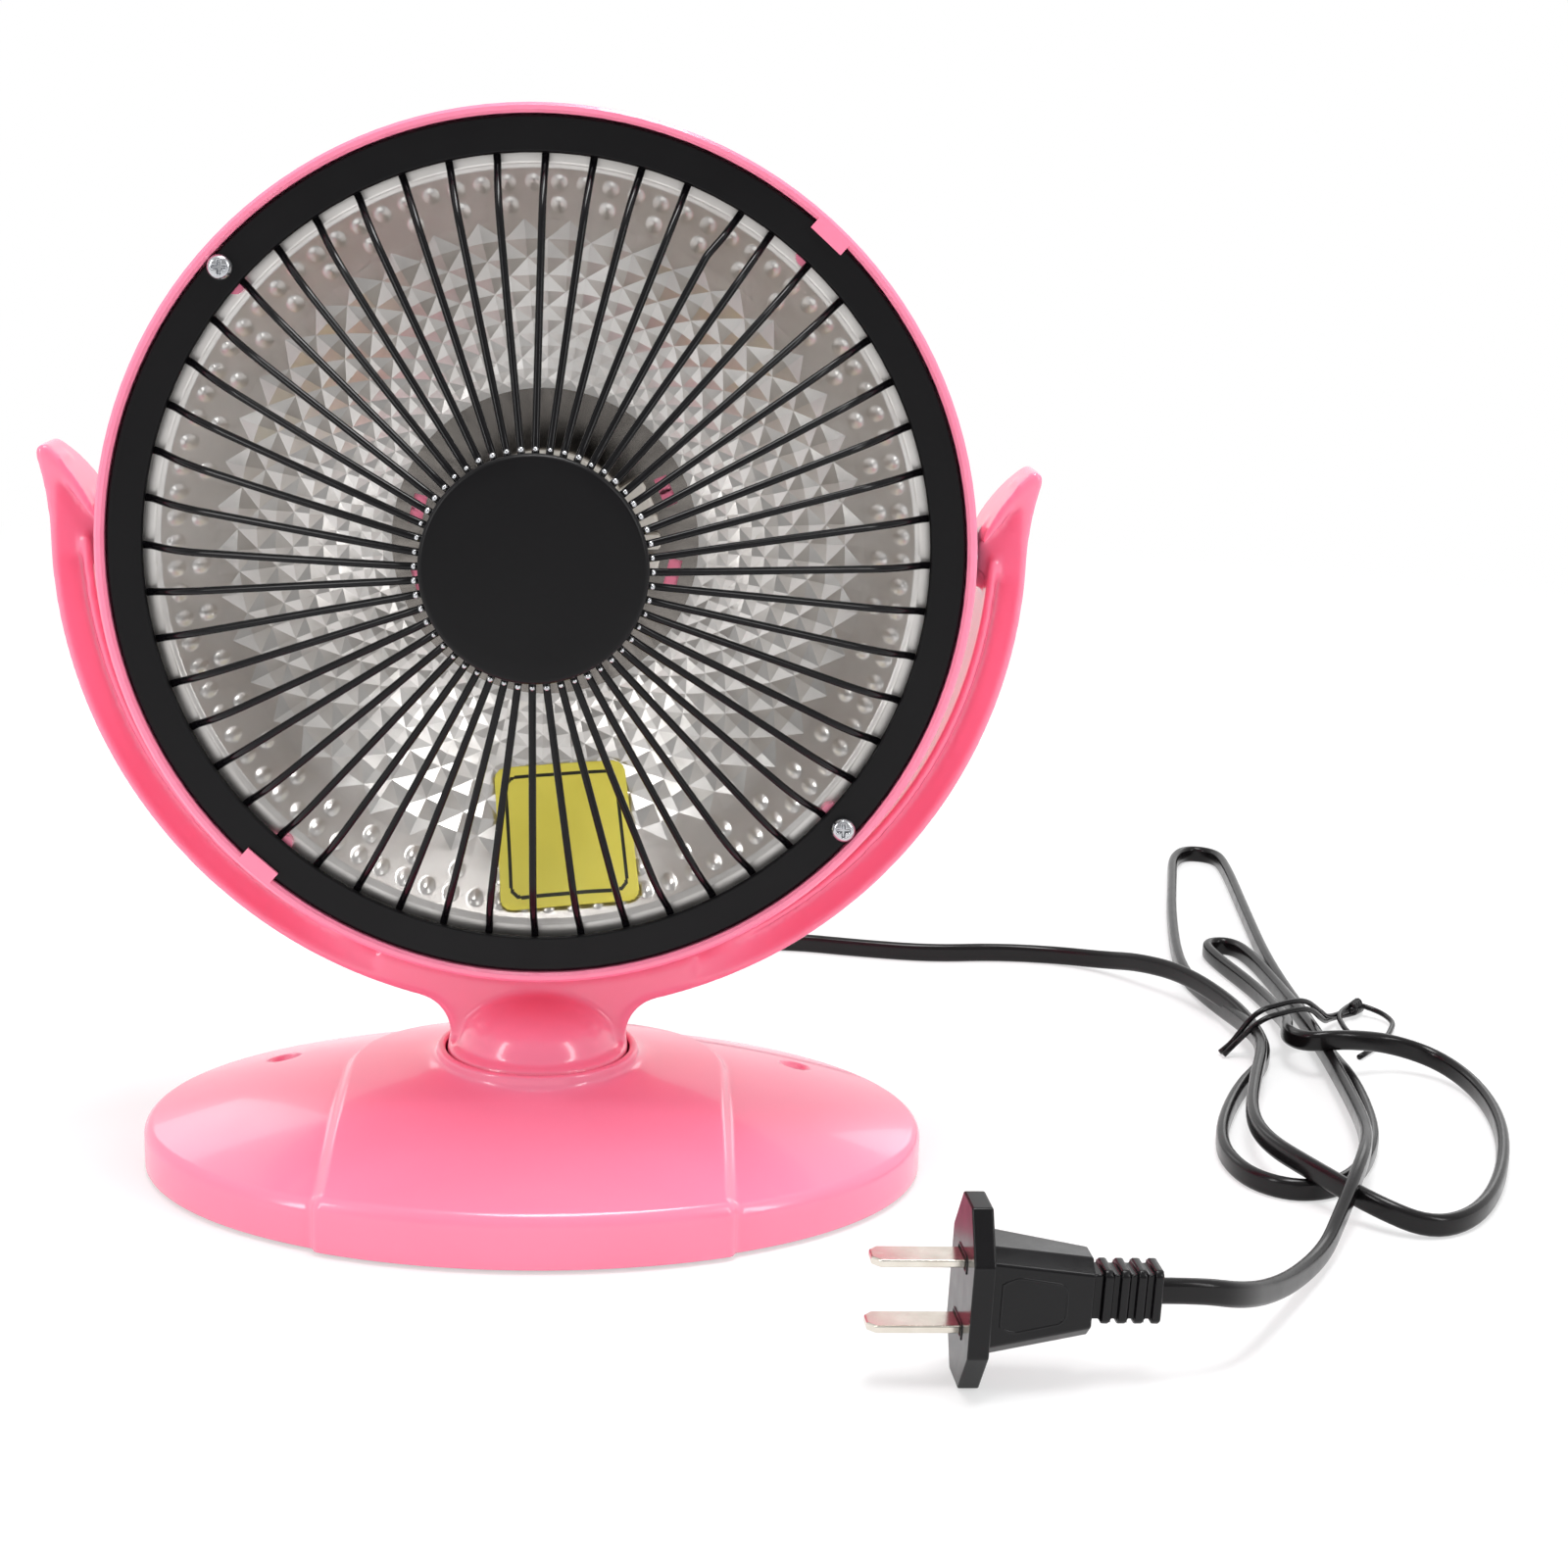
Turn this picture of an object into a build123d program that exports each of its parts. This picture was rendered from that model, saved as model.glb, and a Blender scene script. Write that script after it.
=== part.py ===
from build123d import *
import os
from math import cos, pi, radians, sin, sqrt, tan

os.makedirs("parts", exist_ok=True)

# Millimetres, +Z up, the heater faces -Y, origin on the table under the middle
# of the foot.

# Fits that many pieces share
seat_gap = 0.1  # between pieces that are assembled and stay still
running_gap = 0.3  # between pieces that move past each other
pin_gap = 0.08  # radial play of a pin in its bore
thread_gap = 0.05  # radial play of a screw in its threaded hole
weld_gap = 0.05  # between pieces that are welded or riveted
plastic_wall = 2.0
sheet_metal = 0.6
fastener_sides = 8  # sides of a screw, its hole and its boss
wire_sides = 6  # sides of a thin wire or lead

# Foot
foot_width = 168.0
foot_depth = 118.0
foot_rim_height = 10.0
foot_crown_height = 22.0
foot_edge = 2.0
foot_lift = 0.8  # height of the shell's lower edge above the table
foot_wall = 2.4
cavity_rim_height = 8.7
cavity_step = 16.0  # inward from the wall, where the cavity turns higher
panel_rise = 1.4
panel_half_width = 42.0
panel_square_end = 2.0  # behind the swivel, where the panel's straight sides turn into its round end
panel_round_length = 44.0
dimple_radius = 3.5
dimple_depth = 1.2
dimple_inset_x = 26.5
dimple_inset_y = 37.0
swivel_y = 3.0
collar_radius = 21.8
collar_height = 26.0
collar_rise = 1.0  # upright part of the collar
collar_bore_radius = 19.9
collar_flare = 6.2
collar_flare_radius = 7.5
collar_edge = 0.5
bearing_radius = 14.0
bearing_bottom = 9.0
foot_screw_inset_x = 22.0
foot_screw_inset_y = 37.0
foot_boss_radius = 4.0
foot_screw_radius = 1.5
foot_screw_head_radius = 2.8
foot_screw_head_height = 1.6
foot_screw_head_sink = 0.8
foot_screw_length = 8.0
bore_run = 1.0  # depth of a screw's hole past its tip
cover_thickness = 2.0
cover_inset = 0.4
pad_radius = 5.0
pad_sides = 16
pad_inset_x = 34.0
pad_inset_y = 25.0
weight_length = 34.0
weight_width = 46.0
weight_height = 6.0
weight_corner = 3.0
weight_x = 38.0
weight_screw_inset = 7.0
weight_screw_radius = 1.6
weight_screw_head_radius = 3.0
weight_screw_head_height = 1.8
tip_switch_size = 12.0
tip_switch_height = 9.0
tip_switch_inset = 25.0

# Neck and swivel
neck_width = 38.0
neck_fillet = 9.0
neck_reach = 34.0  # half width of the solid block where the arms join the neck
neck_edge = 1.0
neck_length = 6.7  # from the knuckle's skirt to the lowest point of the arms
knuckle_radius = 17.0
knuckle_height = 11.0
knuckle_sweep = 80.0  # degrees of the dome, short of its hidden top
collar_clearance = 0.6  # height of the neck's block above the collar
spigot_radius = 8.0
spigot_bore_radius = 4.5
spigot_bore_top = 33.0
channel_half = 3.5
clip_groove_depth = 0.9
clip_thickness = 1.0
clip_radius = 11.0
spigot_end = 1.0  # length of the spigot below its clip
washer_thickness = 0.8
washer_radius = 12.0

# Yoke arms, measured from the tilt pivot
pivot_setback = 8.7  # behind the swivel
arm_clearance = 0.4  # between the arms and the path of the head's rim
arm_width = 7.8
arm_wall = 1.8
arm_lip = 0.6
arm_front = 9.8
arm_inner_front = 7.5
arm_back = -13.0
scoop_floor = 1.5
scoop_sag = 1.6
yoke_lead_depth = -1.9
yoke_lead_start = -86.0  # degrees above +X
yoke_lead_turn = 74.0
horn_height = 18.9
horn_reach = 2.5  # outward from the arm
horn_tip = 2.4
horn_tip_drop = 2.1
horn_shoulder = 2.0  # height where the horn leaves the side of the head
horn_belly_out = 3.5
horn_belly_up = 9.9
horn_waist_out = 0.8
horn_waist_up = 9.5
horn_back_top = 3.5  # behind the pivot, where the horn's rounded back ends
horn_back_belly = 10.0
horn_back_belly_up = 12.0
horn_pocket_edge = 1.5
arm_cover_thickness = 2.5
arm_cover_rib = 1.5
arm_screw_angles = (-22.0, -58.0, -122.0, -158.0)
arm_screw_radius = 1.2
arm_screw_head_radius = 2.0
arm_screw_head_height = 1.2
arm_screw_boss_radius = 2.4
arm_screw_boss_length = 5.0

# Tilt pivot
pivot_boss_radius = 7.0
pivot_washer_thickness = 1.2
pivot_bush_radius = 3.5
pivot_bush_bore_radius = 2.2
pivot_flange_radius = 5.5
pivot_flange_thickness = 0.8
pivot_bush_end = 1.0  # length of a bush past its clip
pivot_recess_radius = 6.8
pivot_clip_thickness = 1.2
pivot_groove_depth = 0.5
pivot_cap_thickness = 0.9
pivot_recess_depth = 2.0
housing_boss_proud = 1.4
housing_boss_depth = 8.0

# Head, measured forward from the tilt pivot along the head's own axis
rest_lean = 3.0  # degrees that the head leans back at rest
housing_radius = 88.0
rim_front = 30.0
rim_edge = 0.6
bowl_front = -1.0
bowl_depth = 37.0
bowl_flat_radius = 30.0
bowl_steps = 7  # cones that round the bowl
bowl_lining_steps = 3  # cones that line the bowl
ring_front = 29.0
ring_thickness = 1.0
ring_width = 7.2
ring_lip = 0.9
ring_edge = 0.4
fixing_inset = 2.8
fixing_angle = 49.0  # degrees above +X of the first of the four fixings of the ring
fixing_boss_radius = 4.6
fixing_boss_length = 16.0
fixing_post_radius = 2.6
fixing_post_length = 1.7
tab_length = 8.0
tab_reach = 2.0
tab_thickness = 1.2
vent_count = 24
vent_width = 3.0
vent_length = 18.0
vent_middle_radius = 48.0

# Reflector dish
flange_seat = 24.0
ledge_width = 2.5
ledge_height = 2.0
ledge_slope = 2.5
dish_rim_width = 9.4
dish_steps = 4  # cones that the dish is pressed in
dish_floor_radius = 31.6
sight_slot_radius = 25.6
sight_slot_width = 2.4
sight_slot_length = 5.0
sight_slot_angles = (19.0, 161.0, 199.0, 341.0)

# Wire guard
wire_count = 52
wire_radius = 0.75
wire_seat = 1.8  # from the ring's inner edge to a wire's end
wire_bend_in = 1.1  # inward from the ring's inner edge
wire_knee_in = 6.0
wire_knee_rise = 6.4
wire_shoulder_in = 11.0
wire_shoulder_rise = 10.0
wire_tip_radius = 18.0
wire_hub_bend_radius = 23.5
hub_radius = 22.0
hub_front = 57.3
hub_thickness = 1.6
hub_edge = 0.8
hub_plate_radius = 19.0
hub_plate_thickness = 0.8
hub_rivet_radius = 2.5
ring_screw_radius = 1.5
ring_screw_head_radius = 2.65
ring_screw_head_height = 2.0
ring_screw_length = 9.0

# Heating element
former_base_radius = 24.4
former_base_thickness = 5.0
former_foot_radius = 16.0
former_tip_radius = 10.5
former_length = 38.0
former_cap_radius = 13.5
former_cap_thickness = 4.0
former_bore_radius = 2.7
former_edge = 0.8
coil_wire_radius = 1.1
coil_turns = 6
coil_sides = 10  # straight steps in each turn
coil_start = 8.0
coil_pitch = 3.7
element_bolt_radius = 2.5
element_bolt_head_radius = 4.6
element_bolt_head_height = 3.0
element_nut_radius = 4.6
element_nut_height = 4.0
bracket_half_length = 27.0
bracket_half_top = 16.0
bracket_post_x = 22.5
bracket_width = 14.0
bracket_thickness = 1.2
bracket_post_height = 5.0
bracket_post_radius = 3.5
bracket_screw_radius = 1.4
terminal_length = 22.0
terminal_width = 12.0
terminal_height = 11.0
terminal_y = 20.0
terminal_screw_radius = 1.6
cutout_radius = 6.0
cutout_height = 6.0
cutout_x = -18.0
cutout_y = -16.0
loom_radius = 1.5
lead_height = 6.0  # above the floor of the bowl
lead_spacing = 4.0
lead_bend_radius = 4.0
lead_bend_y = 8.0
foot_lead_x = 17.5

# Rocker switch in the back of the head
switch_y = -17.0
switch_width = 15.0
switch_height = 21.0
switch_body_width = 12.6
switch_body_height = 18.6
switch_body_depth = 14.0
switch_bezel = 1.6
rocker_width = 9.0
rocker_height = 14.0
rocker_axle_radius = 1.2
rocker_angle = 9.0  # degrees between off and on, each side of level
rocker_well_depth = 6.0
rocker_depth = 3.0
rocker_middle = 2.2
rocker_waist = 0.5
rocker_belly = 2.5
rocker_play = 0.8
rocker_axle_half = 5.9

# Mains cord, relief and plug
bend_share = 0.45  # share of a run that the bend at its end may take
tie_radius = 0.7
cord_radius = 2.5
cord_sides = 8
cord_exit_x = 10.0
cord_exit_z = 5.2
gland_width = 8.4
gland_height = 5.8
gland_flange = 0.5
gland_flange_thickness = 1.6
gland_notch_depth = 3.0
relief_length = 22.0
relief_tip_width = 7.0
relief_tip_height = 5.6
plug_flange_length = 35.0
plug_flange_width = 20.0
plug_flange_thickness = 4.0
plug_flange_tip = 8.0
plug_body_length = 19.5
plug_body_height = 21.0
plug_body_width = 14.0
plug_waist_height = 15.0
plug_waist_width = 10.0
plug_body_corner = 2.5
plug_relief_length = 12.5
plug_relief_height = 10.5
plug_relief_width = 7.6
plug_rib_count = 4
plug_rib_width = 1.7
plug_rib_depth = 0.9
blade_spacing = 12.7
blade_width = 6.3
blade_thickness = 1.5
blade_length = 17.0
blade_root = 6.0
plug_face = Vector(80.5, -102.8, 17.8)  # middle of the plug's flange, on its blade side
plug_tail = Vector(117.0, -100.2, 16.8)  # where the cord enters the plug


# Sizes that follow from the head's radius
housing_inner_radius = housing_radius - plastic_wall
ring_outer_radius = housing_inner_radius - running_gap
ring_inner_radius = ring_outer_radius - ring_width
fixing_radius = housing_inner_radius - fixing_inset
ledge_radius = housing_inner_radius - ledge_width
dish_radius = ring_outer_radius - dish_rim_width
arm_inner_radius = sqrt(housing_radius**2 + rim_front**2) + arm_clearance
arm_outer_radius = arm_inner_radius + arm_width
arm_middle_radius = arm_inner_radius + arm_width / 2
skirt_top = collar_height + collar_clearance
pivot_height = skirt_top + neck_length + arm_outer_radius
neck_drop = pivot_height - skirt_top

# Planes and axes that many pieces share
lean_cos = cos(radians(rest_lean))
lean_sin = sin(radians(rest_lean))
pivot = Vector(0, swivel_y + pivot_setback, pivot_height)
swivel_plane = Plane(origin=(0, swivel_y, 0))
swivel_section = Plane(origin=(0, swivel_y, 0), x_dir=(1, 0, 0), z_dir=(0, -1, 0))
swivel_axis = Axis((0, swivel_y, 0), (0, 0, 1))
head_plane = Plane(origin=pivot, x_dir=(1, 0, 0), z_dir=(0, -lean_cos, lean_sin))
head_section = Plane(origin=pivot, x_dir=(1, 0, 0), z_dir=(0, -lean_sin, -lean_cos))
head_axis = Axis(pivot, (0, -lean_cos, lean_sin))
yoke_plane = Plane(origin=pivot, x_dir=(1, 0, 0), z_dir=(0, -1, 0))
side_plane = Plane(origin=pivot, x_dir=(0, 1, 0), z_dir=(1, 0, 0))


def finish(builder, name):
    """Label a finished piece and write it."""
    builder.part.label = name
    export_step(builder.part, f"parts/{name}.step")


# Foot

half_width = foot_width / 2
half_depth = foot_depth / 2
foot_middle_y = panel_rise / 2
plate_bottom = foot_lift + cover_inset
plate_top = plate_bottom + cover_thickness
weight_screw_y = weight_width / 2 - weight_screw_inset
foot_screw_x = half_width - foot_screw_inset_x
foot_screw_y = half_depth - foot_screw_inset_y
foot_screw_seat = plate_bottom + foot_screw_head_sink
foot_bore_top = foot_screw_seat + foot_screw_length + bore_run
pad_x = half_width - pad_inset_x
pad_y = half_depth - pad_inset_y
tip_switch_y = tip_switch_inset - half_depth
cavity_height = plate_top + tip_switch_height + running_gap
weight_screw_points = [(x, y) for x in (-weight_x, weight_x) for y in (-weight_screw_y, weight_screw_y)]
foot_screw_points = [(x, y) for x in (-foot_screw_x, foot_screw_x) for y in (-foot_screw_y, foot_screw_y)]


def crown_radius(half_span, drop):
    """Radius of a crown that falls by a drop at each side of its span."""
    return (half_span**2 + drop**2) / (2 * drop)


def dome(grow, rise, bottom, edge):
    """Oval dome, larger than the foot by a distance: an upright rim under a low crown."""
    half_x = half_width + grow
    half_y = half_depth + grow
    crown = foot_crown_height + rise
    across = crown_radius(half_x, foot_crown_height - foot_rim_height)
    along = crown_radius(half_y, foot_crown_height - foot_rim_height)
    ball = Rot(90, 0, 0) * Sphere(across, mode=Mode.PRIVATE)
    ball = scale(ball, by=(1, sqrt(along / across), 1), mode=Mode.PRIVATE)
    with BuildPart() as body:
        with BuildSketch(Plane.XY.offset(bottom)):
            with Locations((0, foot_middle_y)):
                Ellipse(half_x, half_y)
        extrude(amount=crown)
        add(Pos(0, foot_middle_y, crown - across) * ball, mode=Mode.INTERSECT)
        chamfer(faces().sort_by(Axis.Z)[-1].edges(), edge)
    return body.part


def crown_level(x, y):
    """Height of the crown above a point of the table."""
    drop = foot_crown_height - foot_rim_height
    across = crown_radius(half_width, drop)
    along = crown_radius(half_depth, drop)
    return foot_crown_height - x**2 / (2 * across) - (y - foot_middle_y) ** 2 / (2 * along)


wall_outer = foot_middle_y + half_depth * sqrt(1 - (cord_exit_x / half_width) ** 2)
flange_end_x = cord_exit_x + gland_width / 2 + gland_flange
inner_share = sqrt(1 - (flange_end_x / (half_width - foot_wall)) ** 2)
wall_inner = foot_middle_y + (half_depth - foot_wall) * inner_share
gland_inner = wall_inner - gland_flange_thickness - seat_gap
dimple_x = half_width - dimple_inset_x
dimple_y = half_depth - dimple_inset_y
panel_square_y = swivel_y + panel_square_end
skirt_bottom = foot_crown_height + running_gap

with BuildPart() as front_panel:
    add(dome(panel_rise, panel_rise, foot_lift, foot_edge))
    with BuildSketch(Plane.XY):
        with Locations((0, panel_square_y - half_depth)):
            Rectangle(2 * panel_half_width, foot_depth)
        with Locations((0, panel_square_y)):
            Ellipse(panel_half_width, panel_round_length)
    extrude(amount=2 * foot_crown_height, mode=Mode.INTERSECT)

with BuildPart() as foot_cavity:
    with BuildSketch(Plane.XY):
        with Locations((0, foot_middle_y)):
            Ellipse(half_width - foot_wall, half_depth - foot_wall)
    extrude(amount=cavity_rim_height)
    with BuildSketch(Plane.XY):
        with Locations((0, foot_middle_y)):
            Ellipse(half_width - cavity_step, half_depth - cavity_step)
    extrude(amount=cavity_height)
    with BuildSketch(Plane.XY.offset(plate_top + seat_gap)):
        with Locations(*foot_screw_points):
            RegularPolygon(foot_boss_radius, fastener_sides)
    extrude(amount=foot_crown_height, mode=Mode.SUBTRACT)
    with BuildSketch(swivel_plane.offset(bearing_bottom)):
        Circle(bearing_radius)
    extrude(amount=foot_crown_height, mode=Mode.SUBTRACT)

with BuildPart() as foot_shell:
    add(dome(0, 0, foot_lift, foot_edge))
    add(front_panel.part)
    with BuildSketch(swivel_section):
        with BuildLine():
            Polyline(
                (0, bearing_bottom + foot_wall),
                (collar_radius + collar_flare, bearing_bottom + foot_wall),
                (collar_radius + collar_flare, foot_crown_height - collar_rise),
            )
            RadiusArc(
                (collar_radius + collar_flare, foot_crown_height - collar_rise),
                (collar_radius, collar_height - collar_rise),
                -collar_flare_radius,
            )
            Polyline(
                (collar_radius, collar_height - collar_rise),
                (collar_radius, collar_height - collar_edge),
                (collar_radius - collar_edge, collar_height),
                (0, collar_height),
                (0, bearing_bottom + foot_wall),
            )
        make_face()
    revolve(axis=swivel_axis)
    add(foot_cavity.part, mode=Mode.SUBTRACT)
    with BuildSketch(swivel_plane.offset(foot_crown_height)):
        Circle(collar_bore_radius)
    extrude(amount=collar_height, mode=Mode.SUBTRACT)
    with BuildSketch(swivel_plane):
        Circle(spigot_radius + pin_gap)
    extrude(amount=collar_height, mode=Mode.SUBTRACT)
    with BuildSketch(Plane.XY):
        with Locations(*foot_screw_points):
            RegularPolygon(foot_screw_radius + thread_gap, fastener_sides)
    extrude(amount=foot_bore_top, mode=Mode.SUBTRACT)
    with BuildSketch(Plane.XY.offset(crown_level(dimple_x, dimple_y) - dimple_depth)):
        with Locations((-dimple_x, dimple_y), (dimple_x, dimple_y)):
            Circle(dimple_radius)
    extrude(amount=foot_crown_height, mode=Mode.SUBTRACT)
    with BuildSketch(Plane.XZ.offset(-gland_inner)):
        with Locations((cord_exit_x, cord_exit_z)):
            SlotOverall(gland_width + 2 * seat_gap, gland_height + 2 * seat_gap)
    extrude(amount=-half_depth, mode=Mode.SUBTRACT)
finish(foot_shell, "foot_shell")

with BuildPart() as foot_cover:
    with BuildSketch(Plane.XY.offset(plate_bottom)):
        with Locations((0, foot_middle_y)):
            Ellipse(half_width - foot_wall - running_gap, half_depth - foot_wall - running_gap)
    extrude(amount=cover_thickness)
    with BuildSketch(Plane.XY.offset(plate_bottom)):
        with Locations(*foot_screw_points):
            RegularPolygon(foot_screw_head_radius + seat_gap, fastener_sides)
    extrude(amount=foot_screw_head_sink, mode=Mode.SUBTRACT)
    with BuildSketch(Plane.XY.offset(plate_bottom)):
        with Locations(*foot_screw_points):
            RegularPolygon(foot_screw_radius + seat_gap, fastener_sides)
        with Locations(*weight_screw_points):
            RegularPolygon(weight_screw_radius + seat_gap, fastener_sides)
        with Locations((cord_exit_x, gland_inner + gland_notch_depth)):
            Rectangle(gland_width + 2 * (gland_flange + running_gap), 2 * (gland_notch_depth + running_gap))
    extrude(amount=cover_thickness, mode=Mode.SUBTRACT)
finish(foot_cover, "foot_cover")

with BuildPart() as foot_screws:
    with BuildSketch(Plane.XY.offset(foot_screw_seat - foot_screw_head_height)):
        with Locations(*foot_screw_points):
            RegularPolygon(foot_screw_head_radius, fastener_sides)
    extrude(amount=foot_screw_head_height)
    with BuildSketch(Plane.XY.offset(foot_screw_seat)):
        with Locations(*foot_screw_points):
            RegularPolygon(foot_screw_radius, fastener_sides)
    extrude(amount=foot_screw_length)
finish(foot_screws, "foot_screws")

with BuildPart() as foot_pads:
    with BuildSketch(Plane.XY):
        with Locations(*[(x, y) for x in (-pad_x, pad_x) for y in (-pad_y, pad_y)]):
            RegularPolygon(pad_radius, pad_sides)
    extrude(amount=plate_bottom)
finish(foot_pads, "foot_pads")

with BuildPart() as counterweights:
    with BuildSketch(Plane.XY.offset(plate_top)):
        with Locations((-weight_x, 0), (weight_x, 0)):
            Rectangle(weight_length, weight_width)
        chamfer(vertices(), weight_corner)
        with Locations(*weight_screw_points):
            RegularPolygon(weight_screw_radius + seat_gap, fastener_sides, mode=Mode.SUBTRACT)
    extrude(amount=weight_height)
finish(counterweights, "counterweights")

with BuildPart() as weight_screws:
    with BuildSketch(Plane.XY.offset(plate_bottom)):
        with Locations(*weight_screw_points):
            RegularPolygon(weight_screw_radius, fastener_sides)
    extrude(amount=cover_thickness + weight_height)
    with BuildSketch(Plane.XY.offset(plate_top + weight_height)):
        with Locations(*weight_screw_points):
            RegularPolygon(weight_screw_head_radius, fastener_sides)
    extrude(amount=weight_screw_head_height)
finish(weight_screws, "weight_screws")

with BuildPart() as tip_over_switch:
    with BuildSketch(Plane.XY.offset(plate_top)):
        with Locations((0, tip_switch_y)):
            Rectangle(tip_switch_size, tip_switch_size)
    extrude(amount=tip_switch_height)
finish(tip_over_switch, "tip_over_switch")


# Swivel: the neck's spigot turns in the foot's bearing and is held by a washer and a ring clip

washer_top = bearing_bottom - running_gap
clip_top = washer_top - washer_thickness
clip_bottom = clip_top - clip_thickness
spigot_bottom = clip_bottom - spigot_end

with BuildPart() as swivel_washer:
    with BuildSketch(swivel_plane.offset(clip_top)):
        Circle(washer_radius)
        Circle(spigot_radius + seat_gap, mode=Mode.SUBTRACT)
    extrude(amount=washer_thickness)
finish(swivel_washer, "swivel_washer")

with BuildPart() as swivel_clip:
    with BuildSketch(swivel_plane.offset(clip_bottom)):
        Circle(clip_radius)
        Circle(spigot_radius - clip_groove_depth + seat_gap, mode=Mode.SUBTRACT)
        with Locations((clip_radius, 0)):
            Rectangle(clip_radius, spigot_radius, mode=Mode.SUBTRACT)
    extrude(amount=clip_thickness)
finish(swivel_clip, "swivel_clip")


# Yoke

arm_cover_front = arm_back + arm_cover_thickness


def section_at(angle):
    """Plane through the tilt pivot: x is the radius at an angle above +X, y points forward."""
    turn = radians(angle)
    return Plane(origin=pivot, x_dir=(cos(turn), 0, sin(turn)), z_dir=(sin(turn), 0, -cos(turn)))


def arm_face():
    """Section of an arm: a scoop between a tall outer lip and a lower inner lip."""
    with BuildSketch() as face:
        with BuildLine():
            Polyline(
                (arm_inner_radius + arm_wall, scoop_floor),
                (arm_inner_radius + arm_wall, arm_inner_front),
                (arm_inner_radius + arm_lip, arm_inner_front),
                (arm_inner_radius, arm_inner_front - arm_lip),
                (arm_inner_radius, arm_cover_front),
                (arm_outer_radius, arm_cover_front),
                (arm_outer_radius, arm_front - arm_lip),
                (arm_outer_radius - arm_lip, arm_front),
                (arm_outer_radius - arm_wall, arm_front),
            )
            SagittaArc(
                (arm_outer_radius - arm_wall, arm_front),
                (arm_inner_radius + arm_wall, scoop_floor),
                scoop_sag,
            )
        make_face()
    return face.sketch


def hollow_face():
    """Section of the channel behind the scoop, which the yoke cover closes."""
    with BuildSketch() as face:
        with BuildLine():
            Polyline(
                (arm_inner_radius + arm_wall, arm_cover_front),
                (arm_inner_radius + arm_wall, scoop_floor - arm_wall),
                (arm_outer_radius - arm_wall, scoop_floor + arm_wall),
                (arm_outer_radius - arm_wall, arm_cover_front),
                close=True,
            )
        make_face()
    return face.sketch


def arm_point(angle):
    """Middle of the arm's section at an angle, on the yoke's own plane."""
    turn = radians(angle)
    return (arm_middle_radius * cos(turn), arm_middle_radius * sin(turn))


arm_turn = Axis(pivot, (0, 1, 0))
housing_boss_face = housing_radius + housing_boss_proud
pivot_washer_face = housing_boss_face + running_gap
arm_boss_face = pivot_washer_face + pivot_washer_thickness
pivot_recess_floor = arm_outer_radius - pivot_recess_depth
horn_end = arm_outer_radius + horn_reach
pocket_side = arm_boss_face - arm_wall

with BuildPart() as horn_pocket:
    with BuildSketch(section_at(0)):
        with BuildLine():
            Polyline(
                (arm_inner_radius + arm_wall, scoop_floor),
                (pocket_side, scoop_floor),
                (pocket_side, arm_front + arm_wall),
                (arm_outer_radius - arm_wall, arm_front + arm_wall),
                (arm_outer_radius - arm_wall, arm_front),
            )
            SagittaArc(
                (arm_outer_radius - arm_wall, arm_front),
                (arm_inner_radius + arm_wall, scoop_floor),
                scoop_sag,
            )
        make_face()
    extrude(amount=horn_height, both=True)
    with BuildSketch(yoke_plane.offset(arm_back)):
        with BuildLine():
            Polyline(
                (pocket_side, horn_shoulder - horn_pocket_edge),
                (pocket_side, -pivot_boss_radius),
                (arm_outer_radius - arm_wall, -pivot_boss_radius),
                (arm_outer_radius - arm_wall, horn_height - 2 * horn_tip_drop),
            )
            ThreePointArc(
                (arm_outer_radius - arm_wall, horn_height - 2 * horn_tip_drop),
                (arm_boss_face + horn_belly_out + horn_pocket_edge, horn_belly_up - horn_pocket_edge),
                (pocket_side, horn_shoulder - horn_pocket_edge),
            )
        make_face()
    extrude(amount=2 * (arm_front - arm_back), mode=Mode.INTERSECT)

with BuildPart() as right_horn:
    with BuildSketch(yoke_plane.offset(arm_back)):
        with BuildLine():
            Polyline(
                (arm_outer_radius, 0),
                (arm_outer_radius - arm_wall, -pivot_boss_radius),
                (arm_boss_face, -pivot_boss_radius),
                (arm_boss_face, horn_shoulder),
            )
            ThreePointArc(
                (arm_boss_face, horn_shoulder),
                (arm_boss_face + horn_belly_out, horn_belly_up),
                (horn_end - horn_tip, horn_height),
            )
            ThreePointArc(
                (horn_end - horn_tip, horn_height),
                (horn_end - horn_tip / 4, horn_height - horn_tip / 5),
                (horn_end, horn_height - horn_tip_drop),
            )
            ThreePointArc(
                (horn_end, horn_height - horn_tip_drop),
                (arm_outer_radius + horn_waist_out, horn_waist_up),
                (arm_outer_radius, 0),
            )
        make_face()
    extrude(amount=arm_front - arm_back)
    with BuildSketch(side_plane.offset(pocket_side)):
        with BuildLine():
            ThreePointArc(
                (-arm_back, 0),
                (horn_back_belly, horn_back_belly_up),
                (horn_back_top, horn_height),
            )
            Polyline(
                (horn_back_top, horn_height),
                (horn_back_top, 2 * horn_height),
                (-2 * arm_back, 2 * horn_height),
                (-2 * arm_back, 0),
                (-arm_back, 0),
            )
        make_face()
    extrude(amount=2 * (horn_end - pocket_side), mode=Mode.SUBTRACT)
    add(horn_pocket.part, mode=Mode.SUBTRACT)

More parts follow.
